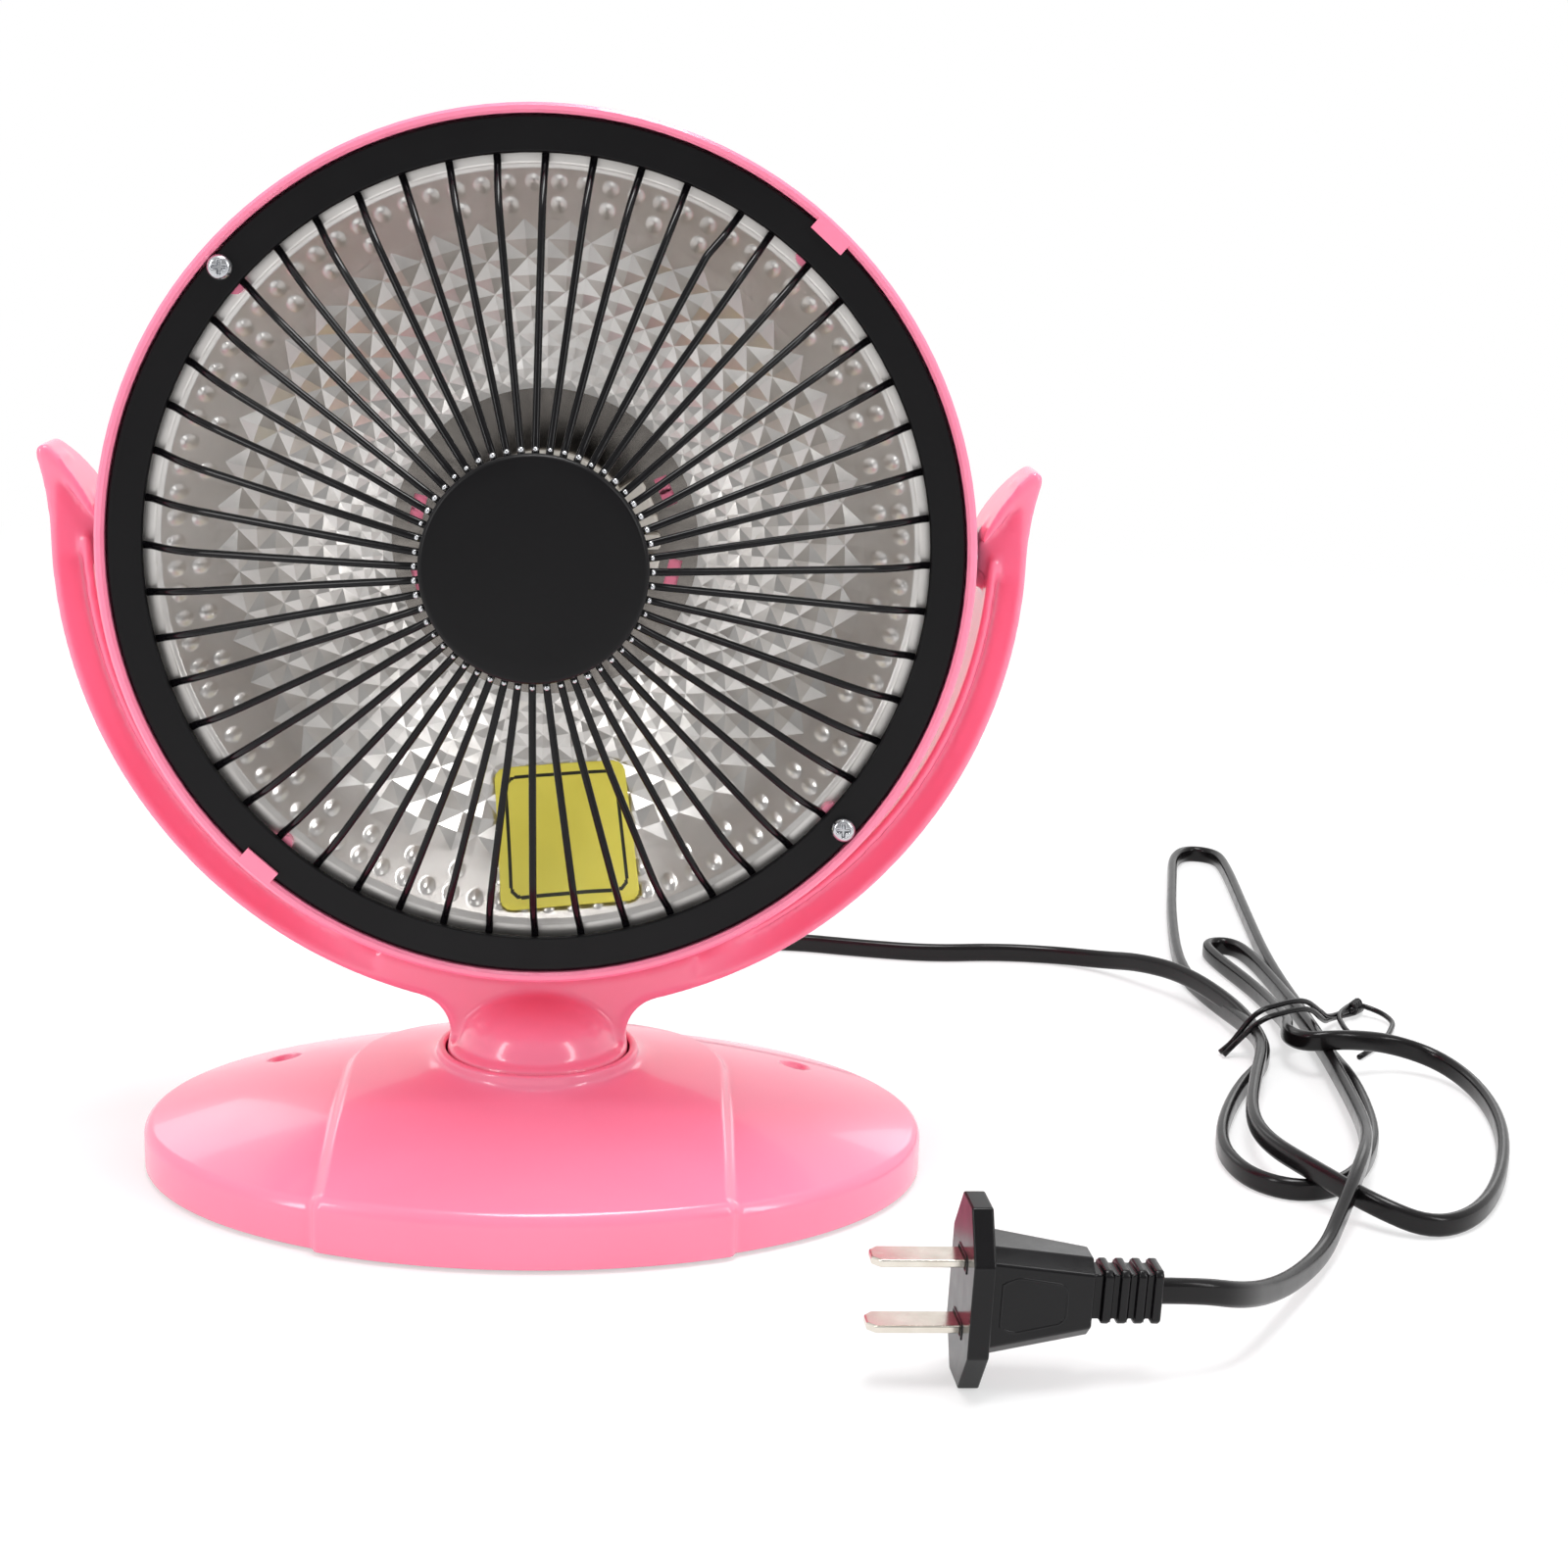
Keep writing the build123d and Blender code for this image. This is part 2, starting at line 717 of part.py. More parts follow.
with BuildPart() as neck_block:
    with BuildSketch(yoke_plane.offset(arm_cover_front)):
        Circle(arm_outer_radius)
        with Locations((0, -neck_drop / 2)):
            Rectangle(neck_width, neck_drop)
        junction = vertices().filter_by(lambda v: 1 - neck_drop < v.Y < -arm_inner_radius)
        fillet(junction, neck_fillet)
        with Locations((0, -neck_drop)):
            Rectangle(2 * neck_reach, 2 * (neck_drop - arm_inner_radius) + neck_width, mode=Mode.INTERSECT)
        Circle(arm_inner_radius, mode=Mode.SUBTRACT)
    extrude(amount=arm_front - arm_cover_front)
    front_edges = faces().sort_by(Axis.Y)[0].edges()
    chamfer(front_edges.sort_by(Axis.Z)[:-1], neck_edge)
    with BuildSketch(section_at(0)):
        add(hollow_face())
    revolve(axis=arm_turn, mode=Mode.SUBTRACT)

with BuildPart() as knuckle:
    with BuildSketch(swivel_section):
        with BuildLine():
            Polyline(
                (0, spigot_bottom),
                (spigot_radius, spigot_bottom),
                (spigot_radius, skirt_bottom),
                (collar_bore_radius - running_gap, skirt_bottom),
                (collar_bore_radius - running_gap, skirt_top),
                (knuckle_radius, skirt_top),
            )
            crown = EllipticalCenterArc(
                (0, skirt_top), knuckle_radius, knuckle_height, start_angle=0, arc_size=knuckle_sweep
            )
            Polyline(crown @ 1, (0, (crown @ 1).Y), (0, spigot_bottom))
        make_face()
    revolve(axis=swivel_axis)
    with BuildSketch(swivel_plane.offset(clip_bottom - seat_gap)):
        Circle(spigot_radius + clip_groove_depth)
        Circle(spigot_radius - clip_groove_depth, mode=Mode.SUBTRACT)
    extrude(amount=clip_thickness + 2 * seat_gap, mode=Mode.SUBTRACT)

channel_bottom = spigot_bore_top - 2 * loom_radius
channel_length = pivot_setback + 2 * loom_radius

with BuildPart() as yoke_front:
    with BuildSketch(section_at(0)):
        add(arm_face())
        add(hollow_face(), mode=Mode.SUBTRACT)
    revolve(axis=arm_turn, revolution_arc=180)
    add(right_horn.part)
    add(mirror(right_horn.part, about=Plane.YZ, mode=Mode.PRIVATE))
    add(neck_block.part)
    add(knuckle.part)
    with BuildSketch(swivel_plane.offset(spigot_bottom)):
        Circle(spigot_bore_radius)
    extrude(amount=spigot_bore_top - spigot_bottom, mode=Mode.SUBTRACT)
    with BuildSketch(swivel_plane.offset(channel_bottom)):
        with Locations((0, channel_length / 2)):
            Rectangle(2 * channel_half, channel_length)
    extrude(amount=pivot_height - arm_middle_radius - channel_bottom, mode=Mode.SUBTRACT)
    with BuildSketch(yoke_plane.offset(arm_cover_front)):
        with Locations(*[arm_point(angle) for angle in arm_screw_angles]):
            RegularPolygon(arm_screw_boss_radius, fastener_sides)
    extrude(amount=arm_screw_boss_length + arm_wall)
    with BuildSketch(yoke_plane.offset(arm_cover_front)):
        with Locations(*[arm_point(angle) for angle in arm_screw_angles]):
            RegularPolygon(arm_screw_radius + thread_gap, fastener_sides)
    extrude(amount=arm_screw_boss_length, mode=Mode.SUBTRACT)
    for side in (-1, 1):
        with BuildSketch(side_plane.offset(side * pivot_recess_floor)):
            Circle(pivot_recess_radius)
        extrude(amount=side * 2 * pivot_recess_depth, mode=Mode.SUBTRACT)
        with BuildSketch(side_plane.offset(side * housing_boss_face)):
            Circle(pivot_bush_radius + pin_gap)
        extrude(amount=side * arm_width * 2, mode=Mode.SUBTRACT)
finish(yoke_front, "yoke_front")

with BuildPart() as yoke_cover:
    with BuildSketch(section_at(0)):
        with BuildLine():
            Polyline(
                (arm_inner_radius, arm_cover_front),
                (arm_inner_radius, arm_back + arm_lip),
                (arm_inner_radius + arm_lip, arm_back),
                (arm_outer_radius - arm_lip, arm_back),
                (arm_outer_radius, arm_back + arm_lip),
                (arm_outer_radius, arm_cover_front),
                (arm_outer_radius - arm_wall - seat_gap, arm_cover_front),
                (arm_outer_radius - arm_wall - seat_gap, arm_cover_front + arm_cover_rib),
                (arm_inner_radius + arm_wall + seat_gap, arm_cover_front + arm_cover_rib),
                (arm_inner_radius + arm_wall + seat_gap, arm_cover_front),
                close=True,
            )
        make_face()
    revolve(axis=arm_turn, revolution_arc=180)
    with BuildSketch(yoke_plane.offset(arm_back)):
        with Locations((0, arm_outer_radius - pivot_boss_radius - seat_gap)):
            Rectangle(3 * arm_outer_radius, 2 * arm_outer_radius)
    extrude(amount=arm_cover_thickness + arm_cover_rib, mode=Mode.SUBTRACT)
    with BuildSketch(yoke_plane.offset(arm_cover_front)):
        with Locations(*[arm_point(angle) for angle in arm_screw_angles]):
            RegularPolygon(arm_screw_boss_radius + seat_gap, fastener_sides)
    extrude(amount=arm_cover_rib, mode=Mode.SUBTRACT)
    with BuildSketch(yoke_plane.offset(arm_back)):
        with Locations(*[arm_point(angle) for angle in arm_screw_angles]):
            RegularPolygon(arm_screw_radius + seat_gap, fastener_sides)
    extrude(amount=arm_cover_thickness, mode=Mode.SUBTRACT)
    with BuildSketch(yoke_plane.offset(arm_back)):
        with Locations(*[arm_point(angle) for angle in arm_screw_angles]):
            RegularPolygon(arm_screw_head_radius + seat_gap, fastener_sides)
    extrude(amount=arm_screw_head_height, mode=Mode.SUBTRACT)
finish(yoke_cover, "yoke_cover")

with BuildPart() as yoke_screws:
    with BuildSketch(yoke_plane.offset(arm_back)):
        with Locations(*[arm_point(angle) for angle in arm_screw_angles]):
            RegularPolygon(arm_screw_head_radius, fastener_sides)
    extrude(amount=arm_screw_head_height)
    with BuildSketch(yoke_plane.offset(arm_back + arm_screw_head_height)):
        with Locations(*[arm_point(angle) for angle in arm_screw_angles]):
            RegularPolygon(arm_screw_radius, fastener_sides)
    extrude(amount=arm_cover_thickness + arm_screw_boss_length - arm_screw_head_height)
finish(yoke_screws, "yoke_screws")

with BuildPart() as yoke_leads:
    with BuildLine(yoke_plane.offset(yoke_lead_depth)) as lead_line:
        CenterArc((0, 0), arm_middle_radius, yoke_lead_start, yoke_lead_turn)
    with BuildSketch(Plane(origin=lead_line.line @ 0, z_dir=lead_line.line % 0)):
        RegularPolygon(loom_radius, wire_sides)
    sweep()
finish(yoke_leads, "yoke_leads")


# Tilt pivot: hollow bushes fixed in the arms turn in the sides of the housing

housing_boss_inner = housing_boss_face - housing_boss_depth
pivot_clip_outer = housing_boss_inner - running_gap
pivot_clip_inner = pivot_clip_outer - pivot_clip_thickness
pivot_bush_inner = pivot_clip_inner - pivot_bush_end

with BuildPart() as pivot_bushes:
    for side in (-1, 1):
        with BuildSketch(side_plane.offset(side * pivot_bush_inner)):
            Circle(pivot_bush_radius)
            Circle(pivot_bush_bore_radius, mode=Mode.SUBTRACT)
        extrude(amount=side * (pivot_recess_floor - pivot_bush_inner))
        with BuildSketch(side_plane.offset(side * pivot_recess_floor)):
            Circle(pivot_flange_radius)
            Circle(pivot_bush_bore_radius, mode=Mode.SUBTRACT)
        extrude(amount=side * pivot_flange_thickness)
        with BuildSketch(side_plane.offset(side * (pivot_clip_inner - seat_gap))):
            Circle(pivot_flange_radius)
            Circle(pivot_bush_radius - pivot_groove_depth, mode=Mode.SUBTRACT)
        extrude(amount=side * (pivot_clip_thickness + 2 * seat_gap), mode=Mode.SUBTRACT)
finish(pivot_bushes, "pivot_bushes")

with BuildPart() as pivot_washers:
    for side in (-1, 1):
        with BuildSketch(side_plane.offset(side * pivot_washer_face)):
            Circle(pivot_boss_radius)
            Circle(pivot_bush_radius + seat_gap, mode=Mode.SUBTRACT)
        extrude(amount=side * pivot_washer_thickness)
finish(pivot_washers, "pivot_washers")

with BuildPart() as pivot_clips:
    for side in (-1, 1):
        with BuildSketch(side_plane.offset(side * pivot_clip_inner)):
            Circle(pivot_flange_radius)
            Circle(pivot_bush_radius - pivot_groove_depth + seat_gap, mode=Mode.SUBTRACT)
            with Locations((pivot_flange_radius, 0)):
                Rectangle(pivot_flange_radius, pivot_bush_radius, mode=Mode.SUBTRACT)
        extrude(amount=side * pivot_clip_thickness)
finish(pivot_clips, "pivot_clips")

with BuildPart() as pivot_caps:
    for side in (-1, 1):
        with BuildSketch(side_plane.offset(side * (pivot_recess_floor + pivot_flange_thickness + seat_gap))):
            Circle(pivot_recess_radius - seat_gap)
        extrude(amount=side * pivot_cap_thickness)
finish(pivot_caps, "pivot_caps")


# Head shell

bowl_back = bowl_front - bowl_depth
bowl_floor = bowl_back + plastic_wall
bowl_span = housing_radius - bowl_flat_radius
ring_back = ring_front - ring_thickness
screw_angles = (fixing_angle + 90, fixing_angle + 270)
tab_angles = (fixing_angle, fixing_angle + 180)


def polar(radius, angle):
    """Point at a radius and an angle above +X."""
    return (radius * cos(radians(angle)), radius * sin(radians(angle)))


def bowl_point(turn, wall):
    """Point of the bowl's rounding, a wall inside it, from its floor at 0 to its side at 90 degrees."""
    deep, outward = polar(1, turn)
    return (bowl_flat_radius + (bowl_span - wall) * outward, bowl_front - (bowl_depth - wall) * deep)


def bowl_corners(steps, wall):
    """Corners of the cones that round the bowl."""
    return [bowl_point(90 * step / steps, wall) for step in range(steps + 1)]


with BuildPart() as rear_housing:
    with BuildSketch(head_section):
        with BuildLine():
            Polyline(
                (0, bowl_back),
                *bowl_corners(bowl_steps, 0),
                (housing_radius, rim_front - rim_edge),
                (housing_radius - rim_edge, rim_front),
                (housing_inner_radius + rim_edge, rim_front),
                (housing_inner_radius, rim_front - rim_edge),
                (housing_inner_radius, flange_seat),
                (ledge_radius, flange_seat),
                (ledge_radius, flange_seat - ledge_height),
                (housing_inner_radius, flange_seat - ledge_height - ledge_slope),
                *reversed(bowl_corners(bowl_lining_steps, plastic_wall)),
                (0, bowl_floor),
                (0, bowl_back),
            )
        make_face()
    revolve(axis=head_axis)
    with BuildSketch(head_plane.offset(ring_back - fixing_boss_length)):
        with PolarLocations(fixing_radius, 4, fixing_angle):
            RegularPolygon(fixing_boss_radius, fastener_sides)
    extrude(amount=fixing_boss_length - fixing_post_length)
    with BuildSketch(head_plane.offset(ring_back - fixing_post_length)):
        with PolarLocations(fixing_radius, 4, fixing_angle):
            RegularPolygon(fixing_post_radius, fastener_sides)
    extrude(amount=fixing_post_length)
    with BuildSketch(head_plane.offset(ring_front + seat_gap)):
        for angle in tab_angles:
            with Locations(Location(polar(housing_inner_radius, angle), angle)):
                Rectangle(2 * tab_reach, tab_length)
        Circle(housing_radius - rim_edge, mode=Mode.INTERSECT)
    extrude(amount=rim_front - ring_front - seat_gap)
    with BuildSketch(head_plane.offset(ring_back - ring_screw_length)):
        for angle in screw_angles:
            with Locations(Location(polar(fixing_radius, angle), angle)):
                RegularPolygon(ring_screw_radius + thread_gap, fastener_sides)
    extrude(amount=ring_screw_length, mode=Mode.SUBTRACT)
    with BuildSketch(head_plane.offset(bowl_floor)):
        with Locations((-bracket_post_x, 0), (bracket_post_x, 0)):
            RegularPolygon(bracket_post_radius, fastener_sides)
            RegularPolygon(bracket_screw_radius + thread_gap, fastener_sides, mode=Mode.SUBTRACT)
    extrude(amount=bracket_post_height)
    with BuildSketch(head_plane.offset(bowl_back)):
        with PolarLocations(vent_middle_radius, vent_count):
            Rectangle(vent_length, vent_width)
        with Locations((0, switch_y)):
            Rectangle(switch_body_width + 2 * seat_gap, switch_body_height + 2 * seat_gap)
    extrude(amount=bowl_depth / 2, mode=Mode.SUBTRACT)
    for side in (-1, 1):
        with BuildSketch(side_plane.offset(side * housing_boss_inner)):
            Circle(pivot_boss_radius)
        extrude(amount=side * housing_boss_depth)
        with BuildSketch(side_plane.offset(side * pivot_bush_inner)):
            Circle(pivot_bush_radius + pin_gap)
        extrude(amount=side * 2 * housing_boss_depth, mode=Mode.SUBTRACT)
finish(rear_housing, "rear_housing")


# Guard: a pressed ring, bent wires welded to it and a round hub

with BuildPart() as guard_ring:
    with BuildSketch(head_section):
        with BuildLine():
            Polyline(
                (ring_inner_radius, ring_front - ring_edge),
                (ring_inner_radius + ring_edge, ring_front),
                (ring_outer_radius - ring_edge, ring_front),
                (ring_outer_radius, ring_front - ring_edge),
                (ring_outer_radius, flange_seat + sheet_metal + seat_gap),
                (ring_outer_radius - ring_lip, flange_seat + sheet_metal + seat_gap),
                (ring_outer_radius - ring_lip, ring_back),
                (ring_inner_radius, ring_back),
                close=True,
            )
        make_face()
    revolve(axis=head_axis)
    with BuildSketch(head_plane.offset(flange_seat)):
        with PolarLocations(fixing_radius, 4, fixing_angle):
            RegularPolygon(fixing_boss_radius + seat_gap, fastener_sides)
    extrude(amount=ring_back - flange_seat, mode=Mode.SUBTRACT)
    with BuildSketch(head_plane.offset(ring_back)):
        for angle in screw_angles:
            with Locations(Location(polar(fixing_radius, angle), angle)):
                RegularPolygon(ring_screw_radius + seat_gap, fastener_sides)
    extrude(amount=ring_thickness, mode=Mode.SUBTRACT)
finish(guard_ring, "guard_ring")

wire_root_height = ring_back - wire_radius - weld_gap
hub_back = hub_front - hub_thickness
wire_tip_height = hub_back - wire_radius - weld_gap

with BuildPart() as guard_wire:
    with BuildLine(Plane.XZ) as wire_line:
        Polyline(
            (ring_inner_radius + wire_seat, wire_root_height),
            (ring_inner_radius - wire_bend_in, wire_root_height),
            (ring_inner_radius - wire_knee_in, wire_root_height + wire_knee_rise),
            (ring_inner_radius - wire_shoulder_in, wire_root_height + wire_shoulder_rise),
            (wire_hub_bend_radius, wire_tip_height),
            (wire_tip_radius, wire_tip_height),
        )
    with BuildSketch(Plane(origin=wire_line.line @ 0, z_dir=wire_line.line % 0)):
        RegularPolygon(wire_radius, wire_sides)
    sweep(transition=Transition.RIGHT)

with BuildPart(head_plane) as guard_wires:
    with PolarLocations(0, wire_count, 90):
        add(guard_wire.part)
finish(guard_wires, "guard_wires")

with BuildPart() as hub_cap:
    with BuildSketch(head_plane.offset(hub_back)):
        Circle(hub_radius)
    extrude(amount=hub_thickness)
    chamfer(edges().sort_by(head_axis)[-1], hub_edge)
finish(hub_cap, "hub_cap")

hub_plate_front = wire_tip_height - wire_radius - weld_gap
hub_plate_back = hub_plate_front - hub_plate_thickness

with BuildPart() as hub_plate:
    with BuildSketch(head_plane.offset(hub_plate_back)):
        Circle(hub_plate_radius)
        Circle(hub_rivet_radius + seat_gap, mode=Mode.SUBTRACT)
    extrude(amount=hub_plate_thickness)
finish(hub_plate, "hub_plate")

with BuildPart() as hub_rivet:
    with BuildSketch(head_plane.offset(hub_plate_back)):
        RegularPolygon(hub_rivet_radius, pad_sides)
    extrude(amount=hub_back - hub_plate_back)
    with BuildSketch(head_plane.offset(hub_plate_back)):
        RegularPolygon(2 * hub_rivet_radius, pad_sides)
    extrude(amount=-hub_plate_thickness)
finish(hub_rivet, "hub_rivet")

with BuildPart() as ring_screws:
    with BuildSketch(head_plane.offset(ring_front - ring_screw_length)):
        for angle in screw_angles:
            with Locations(Location(polar(fixing_radius, angle), angle)):
                RegularPolygon(ring_screw_radius, fastener_sides)
    extrude(amount=ring_screw_length)
    with BuildSketch(head_plane.offset(ring_front)):
        with Locations(*[polar(fixing_radius, angle) for angle in screw_angles]):
            RegularPolygon(ring_screw_head_radius, pad_sides)
    extrude(amount=ring_screw_head_height)
    chamfer(faces().sort_by(head_axis)[-2:].edges(), ring_screw_head_height / 3)
finish(ring_screws, "ring_screws")


# Reflector

floor_front = bowl_front + sheet_metal
dish_depth = flange_seat - bowl_front


def dish_point(step):
    """Corner of the dish's back, from its floor towards its rim, on a parabola."""
    share = step / dish_steps
    radius = dish_floor_radius + (dish_radius - dish_floor_radius) * share
    return (radius, bowl_front + dish_depth * share**2)


dish_back = [dish_point(step) for step in range(dish_steps + 1)]
dish_front = [(radius, height + sheet_metal) for radius, height in reversed(dish_back)]

with BuildPart() as reflector:
    with BuildSketch(head_section):
        with BuildLine():
            Polyline(
                (element_bolt_radius + seat_gap, bowl_front),
                *dish_back,
                (ring_outer_radius, flange_seat),
                (ring_outer_radius, flange_seat + sheet_metal),
                *dish_front,
                (element_bolt_radius + seat_gap, floor_front),
                close=True,
            )
        make_face()
    revolve(axis=head_axis)
    with BuildSketch(head_plane.offset(bowl_front)):
        for angle in sight_slot_angles:
            with Locations(Location(polar(sight_slot_radius, angle), angle + 90)):
                Rectangle(sight_slot_length, sight_slot_width)
    extrude(amount=sheet_metal, mode=Mode.SUBTRACT)
    with BuildSketch(head_plane.offset(flange_seat)):
        with PolarLocations(fixing_radius, 4, fixing_angle):
            RegularPolygon(fixing_boss_radius + seat_gap, fastener_sides)
    extrude(amount=sheet_metal, mode=Mode.SUBTRACT)
finish(reflector, "reflector")


# Heating element

former_front = floor_front + former_length
cone_back = floor_front + former_base_thickness
cone_front = former_front - former_cap_thickness
cone_slope = (former_foot_radius - former_tip_radius) / (cone_front - cone_back)

with BuildPart() as ceramic_former:
    with BuildSketch(head_section):
        with BuildLine():
            Polyline(
                (former_bore_radius, floor_front),
                (former_base_radius, floor_front),
                (former_base_radius, cone_back - former_edge),
                (former_base_radius - former_edge, cone_back),
                (former_foot_radius, cone_back),
                (former_tip_radius, cone_front),
                (former_cap_radius, cone_front),
                (former_cap_radius, former_front - former_edge),
                (former_cap_radius - former_edge, former_front),
                (former_bore_radius, former_front),
                close=True,
            )
        make_face()
    revolve(axis=head_axis)
finish(ceramic_former, "ceramic_former")


def coil_point(turn):
    """Point of the coil after a number of turns round the cone."""
    height = coil_start + coil_pitch * turn
    radius = former_foot_radius - cone_slope * (height - former_base_thickness) + coil_wire_radius + seat_gap
    side, up = polar(radius / cos(pi / coil_sides), 360 * turn)
    return Vector(side, up, floor_front + height)


coil_steps = coil_turns * coil_sides
coil_corners = [head_plane.from_local_coords(coil_point(step / coil_sides)) for step in range(coil_steps + 1)]

with BuildPart() as heating_coil:
    with BuildLine() as coil_line:
        Polyline(*coil_corners)
    with BuildSketch(Plane(origin=coil_line.line @ 0, z_dir=coil_line.line % 0)):
        RegularPolygon(coil_wire_radius, wire_sides)
    sweep(transition=Transition.RIGHT)
finish(heating_coil, "heating_coil")

bracket_back = bowl_front - bracket_thickness
bracket_foot_back = bowl_floor + bracket_post_height
bracket_foot_front = bracket_foot_back + bracket_thickness

with BuildPart() as element_bracket:
    with BuildSketch(head_section):
        with BuildLine():
            Polyline(
                (-bracket_half_length, bracket_foot_back),
                (-bracket_half_top, bracket_foot_back),
                (-bracket_half_top, bracket_back),
                (bracket_half_top, bracket_back),
                (bracket_half_top, bracket_foot_back),
                (bracket_half_length, bracket_foot_back),
                (bracket_half_length, bracket_foot_front),
                (bracket_half_top + bracket_thickness, bracket_foot_front),
                (bracket_half_top + bracket_thickness, bowl_front),
                (-bracket_half_top - bracket_thickness, bowl_front),
                (-bracket_half_top - bracket_thickness, bracket_foot_front),
                (-bracket_half_length, bracket_foot_front),
                close=True,
            )
        make_face()
    extrude(amount=bracket_width / 2, both=True)
    with BuildSketch(head_plane.offset(bracket_foot_back)):
        RegularPolygon(element_bolt_radius + seat_gap, pad_sides)
        with Locations((-bracket_post_x, 0), (bracket_post_x, 0)):
            RegularPolygon(bracket_screw_radius + seat_gap, fastener_sides)
    extrude(amount=bowl_front - bracket_foot_back, mode=Mode.SUBTRACT)
finish(element_bracket, "element_bracket")

with BuildPart() as bracket_screws:
    with BuildSketch(head_plane.offset(bowl_floor)):
        with Locations((-bracket_post_x, 0), (bracket_post_x, 0)):
            RegularPolygon(bracket_screw_radius, fastener_sides)
    extrude(amount=bracket_post_height + bracket_thickness)
    with BuildSketch(head_plane.offset(bracket_foot_front)):
        with Locations((-bracket_post_x, 0), (bracket_post_x, 0)):
            RegularPolygon(2 * bracket_screw_radius, fastener_sides)
    extrude(amount=bracket_screw_radius)
finish(bracket_screws, "bracket_screws")

bolt_back = bracket_back - element_nut_height - element_bolt_radius

with BuildPart() as element_bolt:
    with BuildSketch(head_plane.offset(bolt_back)):
        RegularPolygon(element_bolt_radius, pad_sides)
    extrude(amount=former_front - bolt_back)
    with BuildSketch(head_plane.offset(former_front)):
        RegularPolygon(element_bolt_head_radius, pad_sides)
    extrude(amount=element_bolt_head_height)
    chamfer(faces().sort_by(head_axis)[-1].edges(), element_bolt_head_height / 3)
finish(element_bolt, "element_bolt")

with BuildPart() as element_nut:
    with BuildSketch(head_plane.offset(bracket_back)):
        RegularPolygon(element_nut_radius, 6)
        RegularPolygon(element_bolt_radius + thread_gap, pad_sides, mode=Mode.SUBTRACT)
    extrude(amount=-element_nut_height)
finish(element_nut, "element_nut")

with BuildPart() as terminal_block:
    with BuildSketch(head_plane.offset(bowl_floor)):
        with Locations((0, terminal_y)):
            Rectangle(terminal_length, terminal_width)
    extrude(amount=terminal_height)
    with BuildSketch(head_plane.offset(bowl_floor + terminal_height)):
        with Locations((-terminal_length / 4, terminal_y), (terminal_length / 4, terminal_y)):
            RegularPolygon(terminal_screw_radius, fastener_sides)
    extrude(amount=-terminal_height / 2, mode=Mode.SUBTRACT)
finish(terminal_block, "terminal_block")

with BuildPart() as thermal_cutout:
    with BuildSketch(head_plane.offset(bowl_floor)):
        with Locations((cutout_x, cutout_y)):
            RegularPolygon(cutout_radius, pad_sides)
    extrude(amount=cutout_height)
finish(thermal_cutout, "thermal_cutout")

switch_body_top = switch_y + switch_body_height / 2
terminal_bottom = terminal_y - terminal_width / 2

with BuildPart() as head_leads:
    up_plane = Plane(
        origin=head_plane.from_local_coords((0, switch_body_top, bowl_floor + lead_height)),
        x_dir=head_plane.x_dir,
        z_dir=head_plane.y_dir,
    )
    with BuildSketch(up_plane):
        with Locations((-lead_spacing, 0), (lead_spacing, 0)):
            RegularPolygon(loom_radius, wire_sides)
    extrude(amount=terminal_bottom - switch_body_top)
    with BuildSketch(head_plane.offset(bowl_floor + terminal_height)):
        with Locations((0, terminal_y)):
            RegularPolygon(loom_radius, wire_sides)
    extrude(amount=bowl_front - bowl_floor - terminal_height)
finish(head_leads, "head_leads")


# Rocker switch

switch_front = bowl_back - switch_bezel
rocker_plane = Plane(
    origin=head_plane.from_local_coords((0, switch_y, switch_front + rocker_depth)),
    x_dir=head_plane.y_dir,
    z_dir=head_plane.x_dir,
)
rocker_half = rocker_height / 2
rocker_edge = rocker_middle + rocker_half * tan(radians(rocker_angle))

with BuildPart() as switch_case:
    with BuildSketch(head_plane.offset(switch_front)):
        with Locations((0, switch_y)):
            RectangleRounded(switch_width, switch_height, switch_bezel)
    extrude(amount=switch_bezel)
    with BuildSketch(head_plane.offset(bowl_back)):
        with Locations((0, switch_y)):
            Rectangle(switch_body_width, switch_body_height)
    extrude(amount=switch_body_depth)
    with BuildSketch(head_plane.offset(switch_front)):
        with Locations((0, switch_y)):
            Rectangle(rocker_width + 2 * running_gap, rocker_height + 2 * rocker_play)
    extrude(amount=rocker_well_depth, mode=Mode.SUBTRACT)
    with BuildSketch(rocker_plane.offset(-rocker_axle_half - seat_gap)):
        Circle(rocker_axle_radius + pin_gap)
    extrude(amount=2 * (rocker_axle_half + seat_gap), mode=Mode.SUBTRACT)
finish(switch_case, "switch_case")

rocker_tilt = radians(rocker_angle)
rocker_rest_plane = Plane(
    origin=rocker_plane.origin,
    x_dir=head_plane.y_dir * cos(rocker_tilt) + head_plane.z_dir * sin(rocker_tilt),
    z_dir=head_plane.x_dir,
)

with BuildPart() as rocker:
    with BuildSketch(rocker_rest_plane.offset(-rocker_width / 2)):
        with BuildLine():
            Polyline(
                (-rocker_half, -rocker_waist),
                (-rocker_half, -rocker_edge),
                (0, -rocker_middle),
                (rocker_half, -rocker_edge),
                (rocker_half, -rocker_waist),
            )
            ThreePointArc((rocker_half, -rocker_waist), (0, rocker_belly), (-rocker_half, -rocker_waist))
        make_face()
    extrude(amount=rocker_width)
    with BuildSketch(rocker_plane.offset(-rocker_axle_half)):
        Circle(rocker_axle_radius)
    extrude(amount=2 * rocker_axle_half)
finish(rocker, "rocker")


# Foot's wiring and the cord's gland

exit_plane = Plane(origin=(cord_exit_x, 0, cord_exit_z), x_dir=(-1, 0, 0), z_dir=(0, 1, 0))
relief_start = wall_outer + seat_gap
relief_tip = relief_start + relief_length

